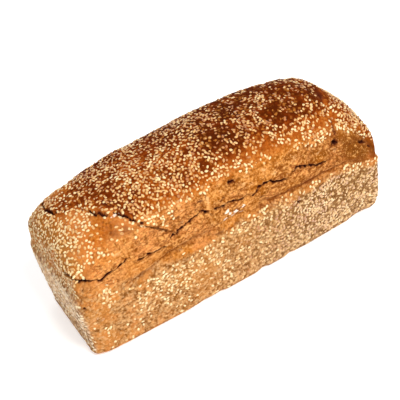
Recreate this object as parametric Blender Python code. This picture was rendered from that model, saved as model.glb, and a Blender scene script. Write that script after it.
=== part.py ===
"""Spelt sesame tin loaf, free-standing, modelled as one solid.

The lower half has the plain tapered form of a loaf tin. Above the tin's rim the crown rises as a long
dome that has torn away along both long sides (the shred) and across one end (the flap). Sesame seeds
are fused to the crust. The origin is the centre of the flat base, +Z is up, and the loaf lies along X
with the torn flap at -X.

Places on the crust are given on a crust map, in metres: 'along' runs along the crest from the middle
of the loaf, positive to +X, and 'across' runs over the dome from the crest, negative to the -Y side.
Both go on down the tin-shaped walls past the rim.
"""

import math

import bmesh
import bpy
import numpy as np
from mathutils import Matrix

MM = 0.001

# The part that was inside the tin
BASE_LENGTH = 270 * MM
BASE_WIDTH = 85 * MM
SIDE_FLARE = math.radians(6.2)
END_FLARE = math.radians(2.3)
SIDE_BOW = 2.8 * MM            # how far the long walls bow out in the middle, at the base
SIDE_BOW_FADE = 0.75           # share of the bow that is gone at the rim
CORNER_RADIUS = 9.5 * MM
BASE_EDGE_RADIUS = 5.5 * MM
BASE_EDGE_SHARE = 0.1          # share of the wall's rows that the rounded base edge takes

# The tin's rim line, where the crown begins
RIM_HEIGHT_LEFT = 67 * MM
RIM_HEIGHT_RIGHT = 60.5 * MM
RIM_ARCH = 6.5 * MM            # how far the rim line arches up in the middle
RIM_END_DROP = 5 * MM          # how far it drops again at the +X end
RIM_END_DROP_FROM = 0.75
END_LEDGE = 3 * MM             # the crown stands back from the tin-shaped ends

# The crown
CROWN_RISE_LEFT = 46 * MM
CROWN_RISE_RIGHT = 61.5 * MM
CROWN_FULLNESS_ACROSS = 2.4    # superellipse exponents: 2 is round, more is boxier
CROWN_FULLNESS_LEFT = 4.2
CROWN_FULLNESS_RIGHT = 3.3

# Moves the uneven loaf so that the origin is the middle of its bounding box
CENTRE_SHIFT = (0.7 * MM, 0.45 * MM, 0.0)

# Crust map: lengths from the crest's middle to the rim
MAP_ALONG = 170 * MM
MAP_ACROSS = 85 * MM

# Mesh rows: columns along the loaf, rows across the crown, and rows up the walls
COLUMNS = 48
ROWS = 28
WALL_ROWS = (0.0, 0.04, 0.1, 0.4, 0.7, 0.9, 1.0)
ROW_GATHER = 1.6               # how much closer the crown's rows lie at the shred
ROW_GATHER_AT = 0.86
ROW_GATHER_WIDTH = 0.1

# Relief of the crust
GROOVE_ACROSS = 86 * MM        # the crease just above the tin's rim
GROOVE_WIDTH = 3.6 * MM
GROOVE_DEPTH = 2.2 * MM
GROOVE_REACH = 112 * MM
GROOVE_DIP = 10 * MM           # the crease runs lower towards the flap
SHRED_ACROSS = 76 * MM         # the torn band bulges between the crease and the crack
SHRED_WIDTH = 6 * MM
SHRED_BULGE = 1.0 * MM
FLAP_STEP = 2.6 * MM           # how far the flap lies below the crown beside its crack
FLAP_REACH = 26 * MM
FLAP_FROM = -30 * MM           # the step is full on the -Y side of this line and gone past the next
FLAP_TO = 15 * MM
FLAP_FOOT = (-74 * MM, -64 * MM)
LIP_BULGE = 1.0 * MM           # the crown's torn edge stands proud of the shred
LIP_REACH = 9 * MM
END_CREASE_ALONG = 101 * MM
END_CREASE_WIDTH = 4 * MM
END_CREASE_DEPTH = 1.2 * MM
LUMP_WAVELENGTH = 62 * MM
LUMP_HEIGHT = 0.8 * MM
KNOB_WAVELENGTH = 21 * MM
KNOB_HEIGHT = 0.35 * MM
WAVES = 14
LUMP_SEED = 11
KNOB_SEED = 12

# Cracks, as (along, across) places on the crust map in millimetres, with the tear's half width
NEAR_CRACK = (
    (-157, -24), (-146, -40), (-133, -62), (-118, -73), (-110, -71), (-96, -68), (-92, -76), (-76, -74),
    (-62, -72), (-50, -68), (-33, -63), (-27, -66), (-21, -71), (-2, -69), (7, -69), (13, -73), (23, -66),
    (36, -70), (55, -66), (66, -70), (84, -73),
)
FAR_CRACK = (
    (-120, 66), (-104, 71), (-90, 68), (-71, 73), (-58, 69), (-39, 72), (-24, 67), (-8, 70), (3, 75),
    (21, 70), (38, 72), (57, 66), (72, 69), (90, 64), (104, 58),
)
FLAP_CRACK = (
    (-106, 69), (-117, 57), (-122, 41), (-129, 24), (-126, 8), (-117, 2), (-108, -4), (-102, -18),
    (-87, -31), (-79, -44), (-70, -54), (-58, -66),
)
CRACK_HALF_WIDTH = 1.5 * MM
CRACK_TIP_SHARE = 0.35

# Sesame
SEED_LENGTH = 3.2 * MM
SEED_WIDTH = 2.0 * MM
SEED_TAPER = 0.35
SEED_HEIGHT = 0.75 * MM        # how far its top stands out of the crust
SEED_RIM = 0.2 * MM            # height of its widest line
SEED_ROOT = 1.6 * MM
SEED_COUNT = 205
SEED_SPACING = 8 * MM
SEED_DRAWS = 9000
SEED_RANDOM = 5
SEED_FLOOR = 4 * MM            # no seed lies lower than this

# Where the crust tore open in the oven and has no sesame
TORN_TOP = (50 * MM, 54 * MM)
TORN_FOOT = (88 * MM, 93 * MM)
TORN_REACH = 122 * MM
BARE_FLAP_ALONG = -100 * MM
BARE_FLAP_ACROSS = -40 * MM
BARE_FLAP_SIZE = 16 * MM
BARE_FLAP_STRENGTH = 1.4

CRUST_COLOUR = (0.57, 0.29, 0.11, 1.0)
CRUST_ROUGHNESS = 0.72


def smooth_step(low, high, value):
    """Rise smoothly from 0 at low to 1 at high."""
    share = np.clip((value - low) / (high - low), 0, 1)
    return share * share * (3 - 2 * share)


def bell(value, centre, width):
    """A soft hump of height 1 round centre."""
    return np.exp(-((value - centre) / width) ** 2)


def superellipse_arc(share, exponent, half_width, rise, steps=600):
    """Places along a quarter superellipse by share of its arc length, as parts of its half axes."""
    angle = math.pi / 2 * np.linspace(0, 1, steps) ** 2
    out = np.sin(angle) ** (2 / exponent)
    up = np.abs(np.cos(angle)) ** (2 / exponent)
    length = np.concatenate([[0], np.cumsum(np.hypot(np.diff(out) * half_width, np.diff(up) * rise))])
    reached = length / length[-1]
    return np.sign(share) * np.interp(np.abs(share), reached, out), np.interp(np.abs(share), reached, up)


def rounded_rectangle(side_x, side_y, half_x, half_y, radius):
    """Where a ray to a unit square's edge meets a rectangle with rounded corners."""
    x = side_x * half_x
    y = side_y * half_y
    core_x = np.clip(x, radius - half_x, half_x - radius)
    core_y = np.clip(y, radius - half_y, half_y - radius)
    reach = np.maximum(np.hypot(x - core_x, y - core_y), 1e-9)
    return core_x + radius * (x - core_x) / reach, core_y + radius * (y - core_y) / reach


def rim_height(end_share):
    """Height of the rim line at a share of the half length, -1 at the flap and 1 at the other end."""
    rise = RIM_HEIGHT_LEFT + (RIM_HEIGHT_RIGHT - RIM_HEIGHT_LEFT) * (end_share + 1) / 2
    drop = RIM_END_DROP * smooth_step(RIM_END_DROP_FROM, 1, end_share)
    return rise + RIM_ARCH * (1 - end_share**2) - drop


def side_bow(end_share, level):
    """How far the long walls bow out at a share of the half length and of the wall's height."""
    return SIDE_BOW * (1 - end_share**2) * (1 - SIDE_BOW_FADE * level)


def smooth_loaf(cube):
    """The loaf without relief: points of the cube from -1 to 1 become points of its surface."""
    right = cube[:, 0] > 0
    mean_rise = (CROWN_RISE_LEFT + CROWN_RISE_RIGHT) / 2
    half = BASE_LENGTH / 2
    out_left, up_left = superellipse_arc(cube[:, 0], CROWN_FULLNESS_LEFT, half, CROWN_RISE_LEFT)
    out_right, up_right = superellipse_arc(cube[:, 0], CROWN_FULLNESS_RIGHT, half, CROWN_RISE_RIGHT)
    out_x = np.where(right, out_right, out_left)
    up_x = np.where(right, up_right, up_left)
    out_y, up_y = superellipse_arc(cube[:, 1], CROWN_FULLNESS_ACROSS, BASE_WIDTH / 2, mean_rise)
    ring = np.maximum(np.maximum(np.abs(out_x), np.abs(out_y)), 1e-9)
    side_x = out_x / ring
    side_y = out_y / ring
    rim = rim_height(out_x)

    half_x = BASE_LENGTH / 2 + math.tan(END_FLARE) * rim - END_LEDGE
    half_y = BASE_WIDTH / 2 + math.tan(SIDE_FLARE) * rim + side_bow(out_x, 1)
    x, y = rounded_rectangle(side_x, side_y, half_x, half_y, CORNER_RADIUS)
    rise = CROWN_RISE_LEFT + (CROWN_RISE_RIGHT - CROWN_RISE_LEFT) * (x * ring / BASE_LENGTH + 0.5)
    crown = np.stack([x * ring, y * ring, rim + rise * up_x * up_y], axis=1)

    level = (cube[:, 2] + 1) / 2
    turn = np.clip(level / BASE_EDGE_SHARE, 0, 1) * math.pi / 2
    inset = BASE_EDGE_RADIUS * (1 - np.sin(turn))
    climb = (level - BASE_EDGE_SHARE) / (1 - BASE_EDGE_SHARE)
    straight = BASE_EDGE_RADIUS + (rim - BASE_EDGE_RADIUS) * climb
    height = np.where(level < BASE_EDGE_SHARE, BASE_EDGE_RADIUS * (1 - np.cos(turn)), straight)
    ledge = END_LEDGE * smooth_step(WALL_ROWS[-2], 1, level)
    half_x = BASE_LENGTH / 2 + math.tan(END_FLARE) * height - inset - ledge
    half_y = BASE_WIDTH / 2 + math.tan(SIDE_FLARE) * height - inset + side_bow(out_x, level)
    x, y = rounded_rectangle(side_x, side_y, half_x, half_y, CORNER_RADIUS)
    wall = np.stack([x, y, height], axis=1)

    base = np.stack([wall[:, 0] * ring, wall[:, 1] * ring, np.zeros(len(cube))], axis=1)
    on_top = cube[:, 2:] > 1 - 1e-6
    on_base = cube[:, 2:] < -1 + 1e-6
    return np.where(on_top, crown, np.where(on_base, base, wall)), rim


def crust_map(cube, points, rim):
    """Crust-map places of the surface points, in metres."""
    along = cube[:, 0] * MAP_ALONG
    across = cube[:, 1] * MAP_ACROSS
    below = np.maximum(rim - points[:, 2], 0) * (cube[:, 2] < 1 - 1e-6)
    on_side = np.abs(cube[:, 1]) > 1 - 1e-6
    on_end = np.abs(cube[:, 0]) > 1 - 1e-6
    along = along + np.sign(cube[:, 0]) * below * (on_end & ~on_side)
    across = across + np.sign(cube[:, 1]) * below * on_side
    return along, across


def waves(points, wavelength, seed):
    """Smooth unevenness: a sum of sine waves of random direction, about -1 to 1."""
    random = np.random.default_rng(seed)
    direction = random.normal(size=(WAVES, 3))
    direction /= np.linalg.norm(direction, axis=1, keepdims=True)
    stretch = 2 * math.pi / (wavelength * random.uniform(0.7, 1.4, WAVES))
    phase = random.uniform(0, 2 * math.pi, WAVES)
    return np.sin(points @ (direction * stretch[:, None]).T + phase).sum(axis=1) / math.sqrt(WAVES)


def beside_path(along, across, path):
    """Distance to a path on the crust map, and the side of it: positive on its left."""
    nearest = np.full(len(along), np.inf)
    side = np.zeros(len(along))
    corners = np.array(path) * MM
    for start, end in zip(corners[:-1], corners[1:]):
        step = end - start
        share = ((along - start[0]) * step[0] + (across - start[1]) * step[1]) / (step @ step)
        share = np.clip(share, 0, 1)
        off_along = along - start[0] - share * step[0]
        off_across = across - start[1] - share * step[1]
        distance = np.hypot(off_along, off_across)
        closer = distance < nearest
        nearest = np.where(closer, distance, nearest)
        side = np.where(closer, np.sign(step[0] * off_across - step[1] * off_along), side)
    return nearest, side


def relief(points, along, across, height):
    """How far each surface point stands out along its normal."""
    fade = 1 - smooth_step(0.8, 1.1, np.abs(along) / GROOVE_REACH)
    groove_at = GROOVE_ACROSS + GROOVE_DIP * smooth_step(50 * MM, 100 * MM, -along)
    groove = -GROOVE_DEPTH * fade * bell(np.abs(across), groove_at, GROOVE_WIDTH)
    shred = SHRED_BULGE * fade * bell(np.abs(across), SHRED_ACROSS, SHRED_WIDTH)

    off_near, side_near = beside_path(along, across, NEAR_CRACK)
    off_far, side_far = beside_path(along, across, FAR_CRACK)
    lip = (side_near > 0) * (1 - smooth_step(0, LIP_REACH, off_near))
    lip = LIP_BULGE * (lip + (side_far < 0) * (1 - smooth_step(0, LIP_REACH, off_far)))

    off, side = beside_path(along, across, FLAP_CRACK)
    flap = -FLAP_STEP * (side < 0) * (1 - smooth_step(0, FLAP_REACH, off))
    flap = flap * (1 - smooth_step(FLAP_FROM, FLAP_TO, across)) * smooth_step(*FLAP_FOOT, across)

    crease = -END_CREASE_DEPTH * bell(along, END_CREASE_ALONG, END_CREASE_WIDTH)
    crease = crease * (1 - smooth_step(40 * MM, 60 * MM, np.abs(across)))

    uneven = LUMP_HEIGHT * waves(points, LUMP_WAVELENGTH, LUMP_SEED)
    uneven = uneven + KNOB_HEIGHT * waves(points, KNOB_WAVELENGTH, KNOB_SEED)
    above_base = smooth_step(0, 2.5 * BASE_EDGE_RADIUS, height)
    return (groove + shred + lip + flap + crease + uneven) * above_base


def gathered_rows(rows):
    """Row places from -1 to 1 that lie closer together at the shred of each long side."""
    place = np.linspace(-1, 1, 2001)
    density = 1 + ROW_GATHER * bell(np.abs(place), ROW_GATHER_AT, ROW_GATHER_WIDTH)
    reached = np.concatenate([[0], np.cumsum((density[1:] + density[:-1]) / 2)])
    return np.interp(rows, 2 * reached / reached[-1] - 1, place)


def subdivided_cube():
    """A cube from -1 to 1 as a bmesh, cut into COLUMNS by ROWS by the wall's rows."""
    mesh = bmesh.new()
    bmesh.ops.create_cube(mesh, size=2)
    for axis, parts in enumerate((COLUMNS, ROWS, len(WALL_ROWS) - 1)):
        edges = [
            edge for edge in mesh.edges
            if abs(edge.verts[0].co[axis] - edge.verts[1].co[axis]) > 1
        ]
        bmesh.ops.subdivide_edges(mesh, edges=edges, cuts=parts - 1, use_grid_fill=True)
    return mesh


def make_body(collection):
    """The loaf's body: the mapped cube with its relief, and one flat face for its base."""
    mesh = subdivided_cube()
    cube = np.array([vertex.co for vertex in mesh.verts], dtype=float)
    cube[:, 1] = gathered_rows(cube[:, 1])
    levels = np.linspace(-1, 1, len(WALL_ROWS))
    cube[:, 2] = np.interp(cube[:, 2], levels, 2 * np.array(WALL_ROWS) - 1)

    points, rim = smooth_loaf(cube)
    for vertex, point in zip(mesh.verts, points):
        vertex.co = point
    mesh.normal_update()
    normals = np.array([vertex.normal for vertex in mesh.verts])
    along, across = crust_map(cube, points, rim)
    height = relief(points, along, across, points[:, 2])
    points = points + normals * height[:, None] + CENTRE_SHIFT
    along_layer = mesh.verts.layers.float.new("along")
    across_layer = mesh.verts.layers.float.new("across")
    for index, vertex in enumerate(mesh.verts):
        vertex.co = points[index]
        vertex[along_layer] = along[index]
        vertex[across_layer] = across[index]

    base = [face for face in mesh.faces if max(vertex.co.z for vertex in face.verts) < 1e-6]
    bmesh.ops.dissolve_faces(mesh, faces=base, use_verts=True)
    bmesh.ops.triangulate(mesh, faces=[face for face in mesh.faces if len(face.verts) == 4])
    data = bpy.data.meshes.new("loaf")
    mesh.to_mesh(data)
    mesh.free()
    body = bpy.data.objects.new("loaf", data)
    collection.objects.link(body)
    return body


def crust_point(along, across):
    """The point of the finished crown, with its relief, at a place on the crust map."""
    offsets = np.array([(0, 0), (1, 0), (-1, 0), (0, 1), (0, -1)]) * MM
    places = np.array([along, across]) + offsets
    cube = np.column_stack([places / (MAP_ALONG, MAP_ACROSS), np.ones(len(places))])
    points = smooth_loaf(cube)[0]
    normal = np.cross(points[1] - points[2], points[3] - points[4])
    normal /= np.linalg.norm(normal)
    height = relief(points[:1], places[:1, 0], places[:1, 1], points[:1, 2])[0]
    return points[0] + normal * height + CENTRE_SHIFT


def make_crack(name, path, collection):
    """A closed tube along a crack, thin at its tips, to be cut from the body."""
    curve = bpy.data.curves.new(name, "CURVE")
    curve.dimensions = "3D"
    curve.bevel_depth = CRACK_HALF_WIDTH
    curve.bevel_resolution = 0
    curve.use_fill_caps = True
    spline = curve.splines.new("POLY")
    spline.points.add(len(path) - 1)
    for index, (along, across) in enumerate(path):
        spline.points[index].co = (*crust_point(along * MM, across * MM), 1)
        middle = 1 - abs(2 * index / (len(path) - 1) - 1)
        spline.points[index].radius = CRACK_TIP_SHARE + (1 - CRACK_TIP_SHARE) * min(1, 3 * middle)
    tube = bpy.data.objects.new(name, curve)
    collection.objects.link(tube)
    bpy.context.view_layer.update()
    data = bpy.data.meshes.new_from_object(tube.evaluated_get(bpy.context.evaluated_depsgraph_get()))
    cutter = bpy.data.objects.new(name + "_cutter", data)
    cutter.matrix_world = tube.matrix_world
    collection.objects.link(cutter)
    bpy.data.objects.remove(tube)
    weld = bmesh.new()
    weld.from_mesh(data)
    bmesh.ops.remove_doubles(weld, verts=weld.verts, dist=1e-6)
    bmesh.ops.recalc_face_normals(weld, faces=weld.faces)
    weld.to_mesh(data)
    weld.free()


def seed_mesh():
    """One low sesame seed: six sides, a blunt top, one end drawn narrow, and a root in the crust."""
    mesh = bmesh.new()
    bmesh.ops.create_uvsphere(mesh, u_segments=6, v_segments=2, radius=1)
    for vertex in mesh.verts:
        narrow = 1 - SEED_TAPER * (vertex.co.x + 1) / 2
        vertex.co.x *= SEED_LENGTH / 2
        vertex.co.y *= SEED_WIDTH / 2 * narrow
        vertex.co.z = SEED_RIM + vertex.co.z * (SEED_HEIGHT - SEED_RIM if vertex.co.z > 0 else SEED_ROOT)
    data = bpy.data.meshes.new("sesame_seed")
    mesh.to_mesh(data)
    mesh.free()
    return data


def seed_share(along, across, height):
    """How thickly the crust is seeded at a place, from 0 to 1: the torn crust is bare."""
    torn = smooth_step(*TORN_TOP, np.abs(across)) * (1 - smooth_step(*TORN_FOOT, np.abs(across)))
    torn = torn * (np.abs(along) < TORN_REACH)
    flap = bell(along, BARE_FLAP_ALONG, BARE_FLAP_SIZE) * bell(across, BARE_FLAP_ACROSS, BARE_FLAP_SIZE)
    return (1 - torn) * (1 - np.clip(BARE_FLAP_STRENGTH * flap, 0, 1)) * (height > SEED_FLOOR)


def corner_values(body, layer, corners):
    """A vertex layer's values at each face's corners."""
    values = np.empty(len(body.data.vertices), dtype=np.float32)
    body.data.attributes[layer].data.foreach_get("value", values)
    return values[corners]


def make_seeds(body, collection):
    """Seeds laid on the crust where the loaf has them, evenly spaced, by a seeded draw."""
    random = np.random.default_rng(SEED_RANDOM)
    faces = [face for face in body.data.polygons if len(face.vertices) == 3]
    corners = np.array([face.vertices[:] for face in faces])
    area = np.array([face.area for face in faces])
    where = np.array([vertex.co for vertex in body.data.vertices])[corners]
    along = corner_values(body, "along", corners).mean(axis=1)
    across = corner_values(body, "across", corners).mean(axis=1)
    chance = area * seed_share(along, across, where[:, :, 2].min(axis=1))

    chosen = random.choice(len(faces), SEED_DRAWS, p=chance / chance.sum())
    blend = random.dirichlet(np.ones(3), SEED_DRAWS)
    spin = random.uniform(0, 2 * math.pi, SEED_DRAWS)
    places = (where[chosen] * blend[:, :, None]).sum(axis=1)
    data = seed_mesh()
    kept = []
    for draw, place in enumerate(places):
        if len(kept) == SEED_COUNT:
            break
        if kept and np.min(np.linalg.norm(np.array(kept) - place, axis=1)) < SEED_SPACING:
            continue
        kept.append(place)
        seed = bpy.data.objects.new(f"sesame_{len(kept):03d}", data)
        lay = faces[chosen[draw]].normal.to_track_quat("Z", "Y").to_matrix().to_4x4()
        seed.matrix_world = Matrix.Translation(place) @ lay @ Matrix.Rotation(spin[draw], 4, "Z")
        collection.objects.link(seed)


def apply_boolean(body, operation, collection):
    """Cut or join a collection's objects with the body, apply it, and remove them."""
    modifier = body.modifiers.new(operation.lower(), "BOOLEAN")
    modifier.operation = operation
    modifier.operand_type = "COLLECTION"
    modifier.collection = collection
    modifier.solver = "MANIFOLD"   # EXACT leaves doubled edges where seeds meet the crust
    bpy.context.view_layer.update()
    data = bpy.data.meshes.new_from_object(body.evaluated_get(bpy.context.evaluated_depsgraph_get()))
    body.modifiers.remove(modifier)
    body.data = data
    for helper in list(collection.objects):
        bpy.data.objects.remove(helper)


def crust_material():
    """The crust's plain finish."""
    material = bpy.data.materials.new("spelt_crust")
    material.use_nodes = True
    shader = material.node_tree.nodes["Principled BSDF"]
    shader.inputs["Base Color"].default_value = CRUST_COLOUR
    shader.inputs["Roughness"].default_value = CRUST_ROUGHNESS
    shader.inputs["Metallic"].default_value = 0.0
    return material


def new_collection(name):
    """A collection linked to the scene."""
    collection = bpy.data.collections.new(name)
    bpy.context.scene.collection.children.link(collection)
    return collection


def build():
    """Make the loaf."""
    for thing in list(bpy.data.objects):
        bpy.data.objects.remove(thing)
    loaf_parts = new_collection("spelt_sesame_tin_loaf")
    cracks = new_collection("cracks")
    sesame = new_collection("sesame")

    body = make_body(loaf_parts)
    make_seeds(body, sesame)
    apply_boolean(body, "UNION", sesame)
    for name, path in (("near_crack", NEAR_CRACK), ("far_crack", FAR_CRACK), ("flap_crack", FLAP_CRACK)):
        make_crack(name, path, cracks)
    apply_boolean(body, "DIFFERENCE", cracks)
    body.data.materials.clear()
    body.data.materials.append(crust_material())
    body.data.shade_smooth()


build()
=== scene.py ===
"""Spelt sesame tin loaf: the finished crust with its tears, the sesame on it, and a plain studio.

Lengths are in metres, +Z is up, and the loaf lies along X with its torn flap at -X. Places on the crust
are given on a crust map, in millimetres: 'along' runs along the crest from the middle of the loaf and
'across' runs over the dome from the crest, negative to the -Y side. Both go on down the walls, past
the tin's rim at 170 along and 85 across.
"""

import logging
import math
from abc import ABC, abstractmethod
from dataclasses import dataclass, field
from enum import IntEnum
from itertools import product
from typing import Any

import bpy
import numpy as np
from mathutils import Matrix, Vector


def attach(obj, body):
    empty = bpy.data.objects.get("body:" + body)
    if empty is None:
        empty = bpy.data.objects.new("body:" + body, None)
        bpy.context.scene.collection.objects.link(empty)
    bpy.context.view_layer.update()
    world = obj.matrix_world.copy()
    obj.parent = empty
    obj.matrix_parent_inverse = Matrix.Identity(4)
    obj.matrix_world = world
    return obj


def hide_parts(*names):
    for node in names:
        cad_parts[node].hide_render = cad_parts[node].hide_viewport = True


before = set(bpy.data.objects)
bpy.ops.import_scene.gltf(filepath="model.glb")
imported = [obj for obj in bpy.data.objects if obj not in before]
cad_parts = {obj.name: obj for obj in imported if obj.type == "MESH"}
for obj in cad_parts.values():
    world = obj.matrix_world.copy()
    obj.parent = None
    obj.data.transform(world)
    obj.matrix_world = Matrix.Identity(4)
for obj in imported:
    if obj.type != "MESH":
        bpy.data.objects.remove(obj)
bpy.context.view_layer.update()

MM = 0.001
BODY = "root"
NODE = "loaf"
LIGHT_LEVEL = 1.25             # light that a surface of the loaf gets, where 1 shows white as white

Array = np.ndarray
Place = tuple[float, float]    # along and across, in millimetres
Span = tuple[float, float]     # where a change starts and ends
Screen = tuple[int, int, int]  # a colour as seen on a screen, 0 to 255
UP = np.array([0.0, 0.0, 1.0])
CUBE_EDGE = 1 - 1e-6           # places of the cube past this lie at its edge
FACING_END = (0.6, 0.9)        # the part of a normal along X where a wall becomes an end wall
ON_WALL = 0.5                  # faces that are part of the tin's walls by more than this count as wall

log = logging.getLogger("loaf")


# ---- Curves and noise ----

LATTICE_PRIMES = (73856093, 19349663, 83492791)
SEED_PRIME = 2654435761
HASH_STEPS = ((13, 1274126177), (15, 2246822519))
HASH_MASK = 0x7FFFFFFF
PATH_PRIMES = (7919, 104729)
LAYER_FALL = 0.55              # height of each finer layer of noise, as a part of the one before
CLUMP_SIZE = 15 * MM
FINE_CLUMP_SIZE = 5.5 * MM
CLUMP_SHARES = (0.5, 0.7)      # of the coarse and the fine noise in the clumps
CLUMP_EDGE = (-0.25, 0.42)


class Draw(IntEnum):
    """The seed of each noise."""

    LUMPS = 11
    KNOBS = 12
    BEND = 31
    FOLD_WANDER = 33
    FOLD_GAPS = 35
    BAKED = 37
    END_WALL = 39
    STREAKS = 41
    CRUMBLE = 43
    WRINKLES = 51
    PORES = 61
    CHIPS = 71
    TOAST_WANDER = 81
    TOAST_SHIFT = 83
    CLUMPS = 91
    FINE_CLUMPS = 93


def smooth_step(low: float | Array, high: float | Array, value: Array) -> Array:
    """Rise from 0 at low to 1 at high as s * s * (3 - 2 * s)."""
    share = np.clip((value - low) / (high - low), 0, 1)
    return share * share * (3 - 2 * share)


def bell(value: Array, centre: float | Array, width: float | Array) -> Array:
    """A hump of height 1 round the centre: exp(-((value - centre) / width) ** 2)."""
    return np.exp(-((value - centre) / width) ** 2)


def unit(vectors: Array) -> Array:
    """Vectors brought to length 1 along their last axis."""
    return vectors / np.maximum(np.linalg.norm(vectors, axis=-1, keepdims=True), 1e-12)


def value_noise(points: Array, wavelength: float | tuple[float, ...], seed: int) -> Array:
    """Random heights on a cubic lattice, blended between its corners by smooth steps.

    Args:
        points: places, one row each.
        wavelength: the lattice's step, one for all axes or one for each.
        seed: which of the lattices.

    Returns:
        A value for each point, from -1 to 1 and about 0 on average.
    """
    scaled = points / np.asarray(wavelength)
    cell = np.floor(scaled).astype(np.int64)
    part = scaled - cell
    blend = part * part * (3 - 2 * part)
    total = np.zeros(len(points))
    for corner in product((0, 1), repeat=3):
        index = cell + corner
        code = np.bitwise_xor.reduce(index * LATTICE_PRIMES, axis=1) ^ seed * SEED_PRIME
        for shift, factor in HASH_STEPS:
            code = (code ^ code >> shift) * factor & HASH_MASK
        height = (code >> 7 & 0xFFFF) / 0x8000 - 1
        total += height * np.prod(np.where(corner, blend, 1 - blend), axis=1)
    return total


def layered_noise(points: Array, wavelength: float | tuple[float, ...], seed: int, layers: int = 3) -> Array:
    """Value noise plus ever finer layers of it, each at half the wavelength and lower by LAYER_FALL."""
    scale = np.asarray(wavelength, dtype=float)
    return sum(
        LAYER_FALL**layer * value_noise(points, scale / 2**layer, seed + layer) for layer in range(layers)
    )


def clumping(points: Array) -> tuple[Array, Array]:
    """How thick the seeds clump at each place, from 0 to 1, and the finer noise that it is made of.

    Args:
        points: the places, one row each.

    Returns:
        The clumping and the finer noise at each place.
    """
    coarse = value_noise(points, CLUMP_SIZE, Draw.CLUMPS)
    fine = layered_noise(points, FINE_CLUMP_SIZE, Draw.FINE_CLUMPS, 2)
    coarse_share, fine_share = CLUMP_SHARES
    return smooth_step(*CLUMP_EDGE, coarse_share * coarse + fine_share * fine), fine


def flat(along: Array, across: Array) -> Array:
    """Crust-map places as points of a plane."""
    return np.column_stack([along, across, np.zeros(len(along))])


@dataclass(frozen=True)
class Change:
    """A value that changes by a gain from one place to another, in millimetres along the loaf or up it."""

    first: float
    gain: float
    start: float
    end: float

    def at(self, place: Array) -> Array:
        """The first value plus the gain times a smooth step from start to end."""
        return self.first + self.gain * smooth_step(self.start * MM, self.end * MM, place)


# ---- The loaf's form ----

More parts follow.
